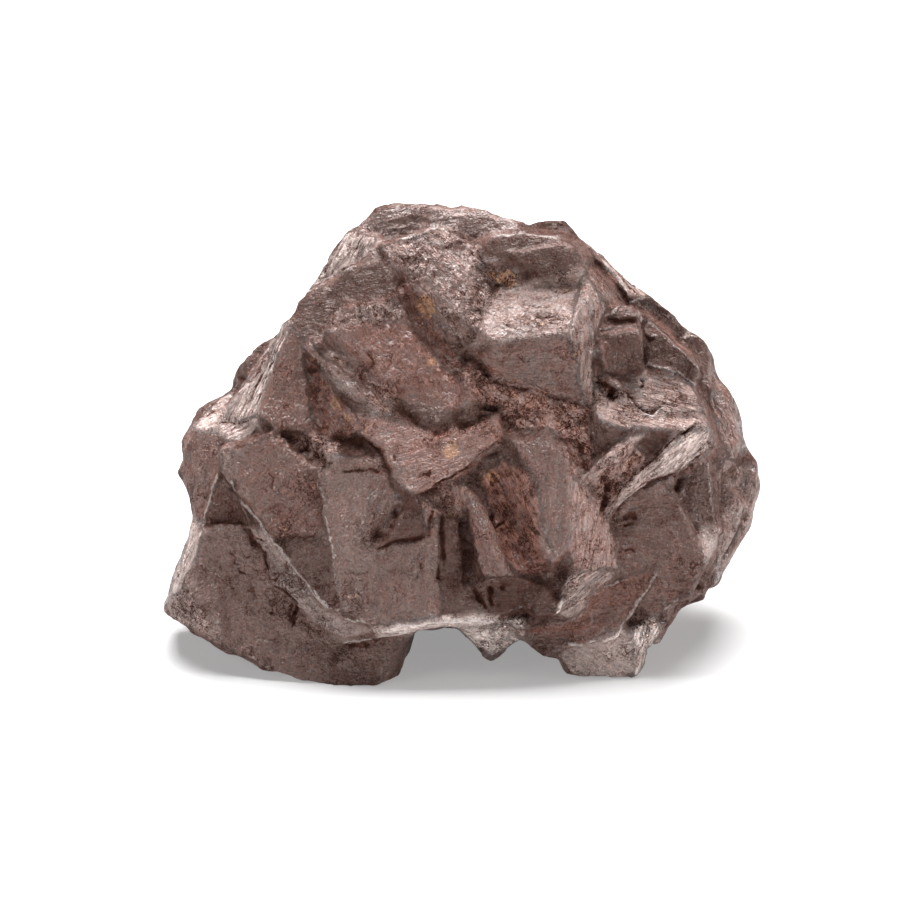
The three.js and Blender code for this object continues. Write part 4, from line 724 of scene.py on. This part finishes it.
# Limonite stains: place, radius and strength.
stains = [
    ((-0.8, -0.5), 0.9, 0.9), ((2.2, -2.5), 0.8, 0.8), ((-0.8, -5.4), 0.55, 0.7), ((3.5, 12.3), 0.7, 0.8),
    ((-2.4, 10.3), 1.0, 0.5), ((-9.5, 3), 0.6, 0.8), ((-8.6, 2), 0.5, 0.6), ((13.3, -9.1), 0.8, 0.5),
    ((4.2, 3.4), 0.5, 0.5), ((-7.3, 1), 0.5, 0.5), ((-2.5, 6), 0.5, 0.7), ((-4.8, 3.1), 0.4, 0.7),
    ((8.8, 12.6), 0.5, 0.4), ((-11.2, 6.3), 0.4, 0.7), ((-9.3, 8.5), 0.5, 0.3), ((-6, 8.3), 0.6, 0.3),
    ((7.6, 11.7), 0.4, 0.4), ((-3.1, 1.4), 0.5, 0.5), ((-0.6, 1.6), 0.4, 0.5), ((8.9, 4.4), 0.5, 0.4),
]

# Depths and sizes are in millimetres.
detail = {
    "streaks": 0.07,  # along the grain of a face
    "chips": 0.22,  # along the edges
    "crumbs": 0.05,  # in the hollows
    "rubble": ((1.2, 0.45), (0.6, 0.2)),  # broken crystals in the hollows: (size, depth)
    "grain": 0.0375,  # everywhere
    "wobble": ((1.8, 0.35, 60), (0.6, 0.16, 70)),  # no line is straight: lump size, reach and seed
    "flowStretch": (0.13, 1, 1),  # the shader's patterns are drawn out along the grain
    "grid": (0.3, 60),  # cell and width of the grid that shows what is hidden from the front
}
maskNames = ("dark", "edge", "pale", "rust", "red", "cool", "tone", "crumb", "grain")


def frontSurface(skin):
    # 1 on what faces the front and isn't hidden behind anything there, 0 elsewhere
    o = skin.points[:, 2]
    depth, place = frontDepth(skin, *detail["grid"])
    bare = 1 - smooth(1.2, 2.4, depth[place] - o)
    return smooth(-0.05, 0.35, skin.normals()[:, 2]) * bare * smooth(-2, 1, o)


facing = frontSurface(skin)
normal = skin.normals()
bulge = np.einsum("ij,ij->i", skin.points - skin.relax(rounds=14), normal)
ridge = skin.spread(smooth(0.02, 0.12, bulge), rounds=2)
hollow = skin.spread(smooth(0.02, 0.14, -bulge), rounds=3)
masks = {name: np.zeros(len(skin.points)) for name in maskNames}
flow = skin.points.copy()  # turned so that the grain runs along the first axis
wx, wu = (skin.points[:, axis] + sum(noise(skin.points, size, seed + axis) * reach
          for size, reach, seed in detail["wobble"]) for axis in (0, 1))


def visible(path, margin):
    # the points near a path that show from the front
    return np.nonzero(nearPath(wx, wu, path, margin) & (facing > 0.02))[0]


cover = np.zeros(len(skin.points))
for outline, looks in faces.values():
    at = visible(outline, 0.6)
    share = smooth(-0.45, 0.25, insideDistance(wx[at], wu[at], outline)) * facing[at]
    cover[at] += share
    for key in ("tone", "red", "pale", "rust", "cool", "crumb"):
        masks[key][at] += share * looks.get(key, 0)
    if "grain" in looks:
        angle, strength = looks["grain"]
        on = at[share > 0.5]
        x, u, o = skin.points[on].T
        flow[on] = np.stack([*turned(x, u, angle), o], 1)
        masks["grain"][at] += share * strength

other = 1 - np.minimum(cover, 1)
for key in maskNames[2:]:  # all but dark and edge
    masks[key] /= np.maximum(cover, 1)
    masks[key] += elsewhere.get(key, 0) * other
for number, (key, reach) in enumerate(varied.items()):
    masks[key] += rubble(skin.points, plateSize, seed=61 + number) * reach * other
# painted shade darkens the hollows of the other sides
masks["dark"] += hollow * 0.6 * other
masks["edge"] += ridge * 0.35 * other

lift = np.zeros(len(skin.points))
fineness = np.zeros(len(skin.points))
uneven = 1 + 0.5 * noise(skin.points, 0.9, seed=81)
for sign, name, strokes in ((-1, "dark", grooves), (1, "edge", ridges)):
    for width, height, shade, *paths in strokes:
        for path in paths:
            at = visible(path, width * 2.5)
            away, _, along = pathDistance(wx[at], wu[at], path)
            ends = smooth(-0.02, 0.12, along) * smooth(-0.02, 0.12, 1 - along)
            bell = np.exp(-(away / (width * uneven[at])) ** 2) * facing[at] * (0.35 + 0.65 * ends)
            lift[at] += sign * height * bell * uneven[at]
            masks[name][at] = np.maximum(masks[name][at], shade * bell)
            fineness[at] = np.maximum(fineness[at], smooth(0.2, 0.7, bell) * (0.7 if width < 0.3 else 0.3))
for place, radius, strength in stains:
    at = visible([place], radius * 1.5)
    away = np.hypot(wx[at] - place[0], wu[at] - place[1])
    masks["rust"][at] += strength * (1 - smooth(0.4, 1.2, away / radius)) * facing[at]

# streaks are lumps that are stretched four or five times along the grain
streaks = noise(flow * (0.25, 1, 1), 0.3, seed=91) + 0.6 * noise(flow * (0.2, 1, 1), 0.75, seed=92)
lift += detail["streaks"] * masks["grain"] * streaks
lift -= detail["chips"] * ridge * smooth(0.05, 0.4, layeredNoise(skin.points, 1.1, seed=21))
crumbled = np.clip(hollow + masks["crumb"] + masks["dark"], 0, 1.2)
lift += detail["crumbs"] * crumbled * layeredNoise(skin.points, 0.55, seed=31)
broken = np.clip(hollow * 0.5 + masks["crumb"] + masks["dark"] * 0.6, 0, 1.2)
on = np.nonzero(broken > 0.05)[0]
for size, depth in detail["rubble"]:
    bent = skin.points[on] + drift(skin.points[on], size, seed=55) * size * 0.5
    lift[on] += depth * broken[on] * rubble(bent, size, seed=51)
lift += detail["grain"] * layeredNoise(skin.points, 0.8, seed=41)
skin.points += normal * lift[:, None]
skin.write(stoneMesh)
print("detail", len(faces), "faces")

for name, values in {"ridge": ridge, "hollow": hollow, **masks}.items():
    layer = stoneMesh.attributes.new(name, "FLOAT", "POINT")
    layer.data.foreach_set("value", values.astype(np.float32))
layer = stoneMesh.attributes.new("flow", "FLOAT_VECTOR", "POINT")
layer.data.foreach_set("vector", (flow * detail["flowStretch"]).astype(np.float32).ravel())

stone = bpy.data.objects.new("prophecy_stone", stoneMesh)
scene.collection.objects.link(stone)
# the mesh is thinned least along the lines of the front
keep = stone.vertex_groups.new(name="keep")
steps = 20
levels = np.round(np.clip(np.maximum(facing * 0.3, fineness), 0, 1) * steps).astype(int)
for level in range(steps + 1):
    keep.add(np.nonzero(levels == level)[0].tolist(), 1 - level / steps, "REPLACE")
thin = stone.modifiers.new("thin", "DECIMATE")
thin.ratio = shape["mostTriangles"] / (2 * len(stoneMesh.polygons))
thin.vertex_group = "keep"
thin.vertex_group_factor = shape["keepFactor"]
graph = bpy.context.evaluated_depsgraph_get()
thinned = bpy.data.meshes.new_from_object(stone.evaluated_get(graph))
stone.modifiers.clear()
stone.vertex_groups.clear()
stone.data = thinned
thinned.name = "prophecy_stone"
dropLoose(thinned)
points = read(thinned.vertices, "co", 3, np.float32)
points[:, 2] = np.maximum(points[:, 2], 0)
thinned.vertices.foreach_set("co", points.ravel())
thinned.polygons.foreach_set("use_smooth", [True] * len(thinned.polygons))
print("triangles", sum(len(p.vertices) - 2 for p in thinned.polygons))


class Value:
    # a shader socket that adds Math nodes when it is used in an expression
    def __init__(self, tree, socket):
        self.tree, self.socket = tree, socket

    def math(self, operation, a, b):
        return self.tree.value("Math", {0: a, 1: b}, operation=operation)

    def __add__(self, other):
        return self.math("ADD", self, other)

    __radd__ = __add__

    def __sub__(self, other):
        return self.math("SUBTRACT", self, other)

    def __rsub__(self, other):
        return self.math("SUBTRACT", other, self)

    def __mul__(self, other):
        return self.math("MULTIPLY", self, other)

    __rmul__ = __mul__


class Tree:
    # a material with its nodes, whose kinds are given without "ShaderNode"
    def __init__(self, name):
        self.material = bpy.data.materials.new(name)
        self.material.use_nodes = True
        self.nodes = self.material.node_tree.nodes
        self.links = self.material.node_tree.links
        self.nodes.clear()

    def node(self, kind, sockets=None, **settings):
        made = self.nodes.new("ShaderNode" + kind)
        for key, value in settings.items():
            setattr(made, key, value)
        for key, value in (sockets or {}).items():
            if isinstance(value, Value):
                value = value.socket
            if isinstance(value, bpy.types.NodeSocket):
                self.links.new(value, made.inputs[key])
            else:
                made.inputs[key].default_value = value
        return made

    def value(self, kind, sockets=None, output=0, **settings):
        return Value(self, self.node(kind, sockets, **settings).outputs[output])

    def attribute(self, name):
        return self.value("Attribute", output="Fac", attribute_name=name)

    def clamp(self, value):
        return self.value("Clamp", {"Value": value})

    def between(self, value, low, high):
        # 0 below low and 1 above high, with soft ends
        return self.value("MapRange", {"Value": value, "From Min": low, "From Max": high},
                          interpolation_type="SMOOTHSTEP")

    def mix(self, amount, first, second, blend="MIX"):
        made = self.node("Mix", {0: amount, 6: first, 7: second}, data_type="RGBA", blend_type=blend)
        return made.outputs[2]

    def vector(self, operation, *inputs):
        return self.node("VectorMath", dict(enumerate(inputs)), operation=operation).outputs

    def noise(self, place, scale, detail=3, roughness=0.55, distortion=0.0):
        return self.value("TexNoise", {"Vector": place, "Scale": scale, "Detail": detail,
                                       "Roughness": roughness, "Distortion": distortion})

    def patches(self, place, scale, detail=3, roughness=0.55):
        # noise that fills the whole range from 0 to 1
        field = self.noise(place, scale, detail, roughness)
        return self.value("MapRange", {"Value": field, "From Min": 0.3, "From Max": 0.7})

    def veins(self, place, scale, width, distortion):
        # thin wandering lines, 1 in their middle
        field = self.noise(place, scale, 3, 0.6, distortion) - 0.5
        return 1 - self.between(field.math("ABSOLUTE", field, 0), width * 0.2, width)

    def facets(self, place, scale, bend):
        # a crystalline break: tipped flats with sharp borders, and a number for each flat
        blur = self.node("TexNoise", {"Vector": place, "Scale": scale * 1.3, "Detail": 2.0})
        bent = self.vector("MULTIPLY_ADD", blur.outputs[1], (bend / scale,) * 3, place)[0]
        cell = self.node("TexVoronoi", {"Vector": bent, "Scale": scale, "Randomness": 1.0}).outputs
        fromMiddle = self.vector("SUBTRACT", bent, cell["Position"])[0]
        tip = self.vector("SUBTRACT", cell["Color"], (0.5, 0.5, 0.5))[0]
        slope = Value(self, self.vector("DOT_PRODUCT", fromMiddle, tip)["Value"])
        own = self.value("SeparateColor", {0: cell["Color"]})
        return slope * scale + own * 0.35, own

    def principled(self, colour, roughness, **others):
        inputs = {"Base Color": colour, "Roughness": roughness, **others}
        return self.node("BsdfPrincipled", inputs).outputs[0]

    def finished(self, shader):
        self.node("OutputMaterial", {"Surface": shader})
        return self.material


finish = {
    "body": (0.175, 0.084, 0.063, 1),
    "bodyRed": (0.260, 0.088, 0.056, 1),
    "bodyCool": (0.140, 0.090, 0.083, 1),
    "crevice": (0.088, 0.029, 0.018, 1),
    "earth": (0.25, 0.092, 0.056, 1),
    "wornAndLit": (0.66, 0.555, 0.52, 1),
    "rust": (0.52, 0.25, 0.115, 1),
    "roughness": (0.22, 0.60),
    "gapRoughness": 0.85,
    "relief": 0.00014,  # metres
    "refraction": {"crust": 1.85, "gap": 1.35},
}


def makeStoneMaterial():
    tree = Tree("worn iron oxide")
    place = tree.node("TexCoord").outputs["Object"]
    flowing = tree.node("Attribute", attribute_name="flow").outputs["Vector"]
    ridge, hollow, dark, edge, pale, rust, red, cool, tone, crumb, grain = (
        tree.attribute(name) for name in ("ridge", "hollow", *maskNames))
    # patterns from broad to fine, with their scales per metre, or per stretched millimetre along the grain
    clouds = tree.patches(place, 350)
    mottle = tree.patches(place, 1100, 4, 0.6)
    fine = tree.patches(place, 2900, 3, 0.65)
    grit = tree.patches(place, 7000, 1)
    fibres = tree.patches(flowing, 2.6, 3, 0.6)
    strands = tree.patches(flowing, 8, 2, 0.6)
    veins = tree.veins(place, 800, 0.03, 1.2)
    scratches = tree.veins(place, 1900, 0.04, 1.6)
    threads = tree.veins(flowing, 2.0, 0.06, 0.5)
    chunk, chunkOwn = tree.facets(place, 1200, 0.6)
    chip, chipOwn = tree.facets(place, 3300, 0.5)
    splinter, splinterOwn = tree.facets(flowing, 2.6, 0.3)

    # what each pattern marks, and where
    # low and high split each face's lightness, which holds its painted light and shade
    low = tone.math("MAXIMUM", tone * -1, 0)
    high = tone.math("MAXIMUM", tone, 0)
    broken = tree.clamp(crumb * 0.8 + hollow * 0.4 + dark * 0.4 + 0.1)
    calm = 1 - grain * 0.6
    darkness = tree.between(dark + (mottle - 0.5) * 0.4 + (fine - 0.5) * 0.3, 0.25, 0.75)
    crack = veins * tree.between(clouds + broken * 0.6, 0.6, 0.95)
    scratch = scratches * tree.between(mottle * 0.6 + clouds * 0.4 + broken * 0.3, 0.5, 0.75)
    fibre = threads * grain * tree.between(mottle + crumb * 0.3, 0.25, 0.7)
    glint = tree.between(chipOwn, 0.86, 0.92) * tree.between(mottle, 0.4, 0.8) * (broken + grain * 0.2)
    pit = tree.between(1 - chipOwn, 0.90, 0.95) * broken
    spark = tree.between(grit, 0.60, 0.72) * tree.between(mottle, 0.35, 0.6)
    dot = tree.between(1 - grit, 0.60, 0.72) * tree.between(mottle + broken * 0.2, 0.35, 0.6)
    # line: the pale edges, partly wear and partly painted highlight
    line = tree.between(edge + (mottle - 0.5) * 0.5 + (fine - 0.5) * 0.4, 0.5, 0.9)
    streak = ((fibres - 0.5) * 0.7 + (strands - 0.5) * 0.6 + (splinterOwn - 0.5) * 0.5) * grain
    speckle = ((fine - 0.5) * 0.4 + (grit - 0.5) * 0.35) * calm
    tips = (chunkOwn - 0.5) * broken * 0.4 + (chipOwn - 0.5) * (broken + 0.05) * 0.5

    # the crust's colour: body, wear with painted highlights, ochre, then shades, which carry each face's
    # painted light and shade
    colour = tree.mix(tree.between(clouds * 0.6 + red * 0.7, 0.35, 1.0), finish["body"], finish["bodyRed"])
    colour = tree.mix(tree.between(mottle * 0.5 + cool * 0.6, 0.4, 1.0), colour, finish["bodyCool"])
    wearAndHighlight = pale * 0.7 + ridge * 0.3 + streak * 0.5 + (mottle - 0.5) * 0.5 + glint * 0.3
    colour = tree.mix(tree.between(wearAndHighlight, 0.25, 1.25), colour, finish["wornAndLit"])
    # painted highlight: the lightest faces and the edge lines turn towards the pale colour
    colour = tree.mix(high * 0.22 + line * 0.6, colour, finish["wornAndLit"])
    ochre = rust + tree.between(clouds + (chunkOwn - 0.5) * 0.4, 0.95, 1.15) * 0.5
    stained = tree.between(ochre + (mottle - 0.5) * 0.6 + (fine - 0.5) * 0.4, 0.42, 0.75)
    colour = tree.mix(stained * 0.75, colour, finish["rust"])
    texture = 1 + (mottle - 0.5) * (0.3 + broken * 0.3) + speckle + streak + tips + spark * 0.3
    # the shade paints each face's light and shade over the texture: lighter where high, darker where low
    shade = (1 + high * 0.25 - low * 0.5) * texture
    shades = tree.node("CombineColor", {0: shade, 1: shade, 2: shade}).outputs[0]
    colour = tree.mix(1.0, colour, shades, "MULTIPLY")
    earth = tree.mix(1.0, finish["earth"], shades, "MULTIPLY")

    height = (clouds * 1.2 + mottle * 1.2 + fine * 0.5 * calm + grit * 0.15
              + (fibres * 1.0 + strands * 0.5 + splinter * 2.2) * grain
              + chunk * broken * 5 + chip * (broken + 0.04) * 2.8
              - crack * 1.5 - scratch * 1.0 - fibre * 1.0 - pit * 0.5)
    bump = tree.node("Bump", {"Height": height, "Distance": finish["relief"]}).outputs[0]
    smoothest, roughest = finish["roughness"]
    roughness = tree.value("MapRange", {"Value": mottle * 0.5 + hollow * 0.5 + crumb * 0.2 - glint * 0.6,
                                        "To Min": smoothest, "To Max": roughest})

    # crevices and dusty places are a dull earth instead of the crust; the cracks, scratches and pits, and
    # the painted shade in the hollows, under the ledges and on the darkest faces, turn it to the dark
    # crevice colour
    depth = hollow * 0.3 - (mottle - 0.5) * (0.2 + broken * 0.4) - speckle * 0.5 - streak * 0.5 - tips * 0.9
    share = tree.clamp(tree.between(depth, 0.2, 0.9) + darkness * 0.75 + low * 0.6 + crack * 0.7
                       + scratch * 0.7 + fibre * 0.6 + pit * 0.5 + dot * 0.25 - line * 0.5)
    dusty = tree.between(red * 0.5 + broken * 0.4 + (mottle - 0.5) * 0.5, 0.2, 1.2) * 0.7
    index = finish["refraction"]
    crust = tree.principled(colour, roughness, Normal=bump, IOR=index["crust"])
    gap = tree.principled(tree.mix(share, earth, finish["crevice"]), finish["gapRoughness"], Normal=bump,
                          IOR=index["gap"])
    both = tree.node("MixShader", {0: tree.clamp(share + dusty), 1: crust, 2: gap})
    return tree.finished(both.outputs[0])


thinned.materials.clear()
thinned.materials.append(makeStoneMaterial())
print("material made")
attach(stone, "root")
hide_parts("stone")

studio = {
    "floorTone": (0.60, 0.60, 0.60, 1),
    "floorRoughness": 0.7,
    "floorGlow": 0.3,  # the floor is a light table
    "floorReach": 2,  # metres
    "white": (1, 1, 1, 1),
    "world": 0.03,
    # place and size in metres, power in watts
    "lamps": {
        "top": ((0, 0.1, 0.42), (0.4, 0.3), 4.0),
        "behind": ((0, 0.3, 0.4), (0.4, 0.2), 2.3),
        "right": ((0.45, 0, 0.06), (0.3, 0.12), 1.3),
        "left": ((-0.35, -0.2, 0.2), (0.25, 0.25), 0.4),
    },
    "aim": (-0.87, -0.53, 0.0),  # in the frame of the front
}


def makeFloor():
    r = studio["floorReach"]
    floorMesh = bpy.data.meshes.new("floor")
    floorMesh.from_pydata([(-r, -r, 0), (r, -r, 0), (r, r, 0), (-r, r, 0)], [], [(0, 1, 2, 3)])
    tree = Tree("pale floor")
    glowing = {"Emission Color": studio["white"], "Emission Strength": studio["floorGlow"]}
    floorMesh.materials.append(tree.finished(tree.principled(
        studio["floorTone"], studio["floorRoughness"], **glowing)))
    floor = bpy.data.objects.new("floor", floorMesh)
    scene.collection.objects.link(floor)
    return floor


floor = makeFloor()

world = bpy.data.worlds.new("studio")
world.use_nodes = True
sky = world.node_tree.nodes["Background"].inputs
sky["Color"].default_value = studio["white"]
sky["Strength"].default_value = studio["world"]
scene.world = world

target = Vector(toWorld(np.array([studio["aim"]]))[0])


def addAimed(name, data, at):
    # a lamp or the camera, looking at the stone
    made = bpy.data.objects.new(name, data)
    made.location = at
    made.rotation_euler = (target - made.location).to_track_quat("-Z", "Y").to_euler()
    scene.collection.objects.link(made)
    return made


for name, (at, size, power) in studio["lamps"].items():
    lamp = bpy.data.lights.new(name, "AREA")
    lamp.shape = "RECTANGLE"
    lamp.size, lamp.size_y = size
    lamp.energy = power
    addAimed(name, lamp, at)

# lens and sensor in millimetres, then the width of the view and what else lies between, in metres
view = {"lens": 300, "sensor": 36, "width": 0.0682, "extra": 0.006, "elevation": 20}
lens = bpy.data.cameras.new("camera")
lens.lens = view["lens"]
lens.sensor_width = view["sensor"]
away = view["width"] * view["lens"] / view["sensor"] + view["extra"]
rise = math.radians(view["elevation"])
scene.camera = addAimed("camera", lens, target + Vector((0, -math.cos(rise), math.sin(rise))) * away)
scene.view_settings.view_transform = "Standard"

print("scene made")
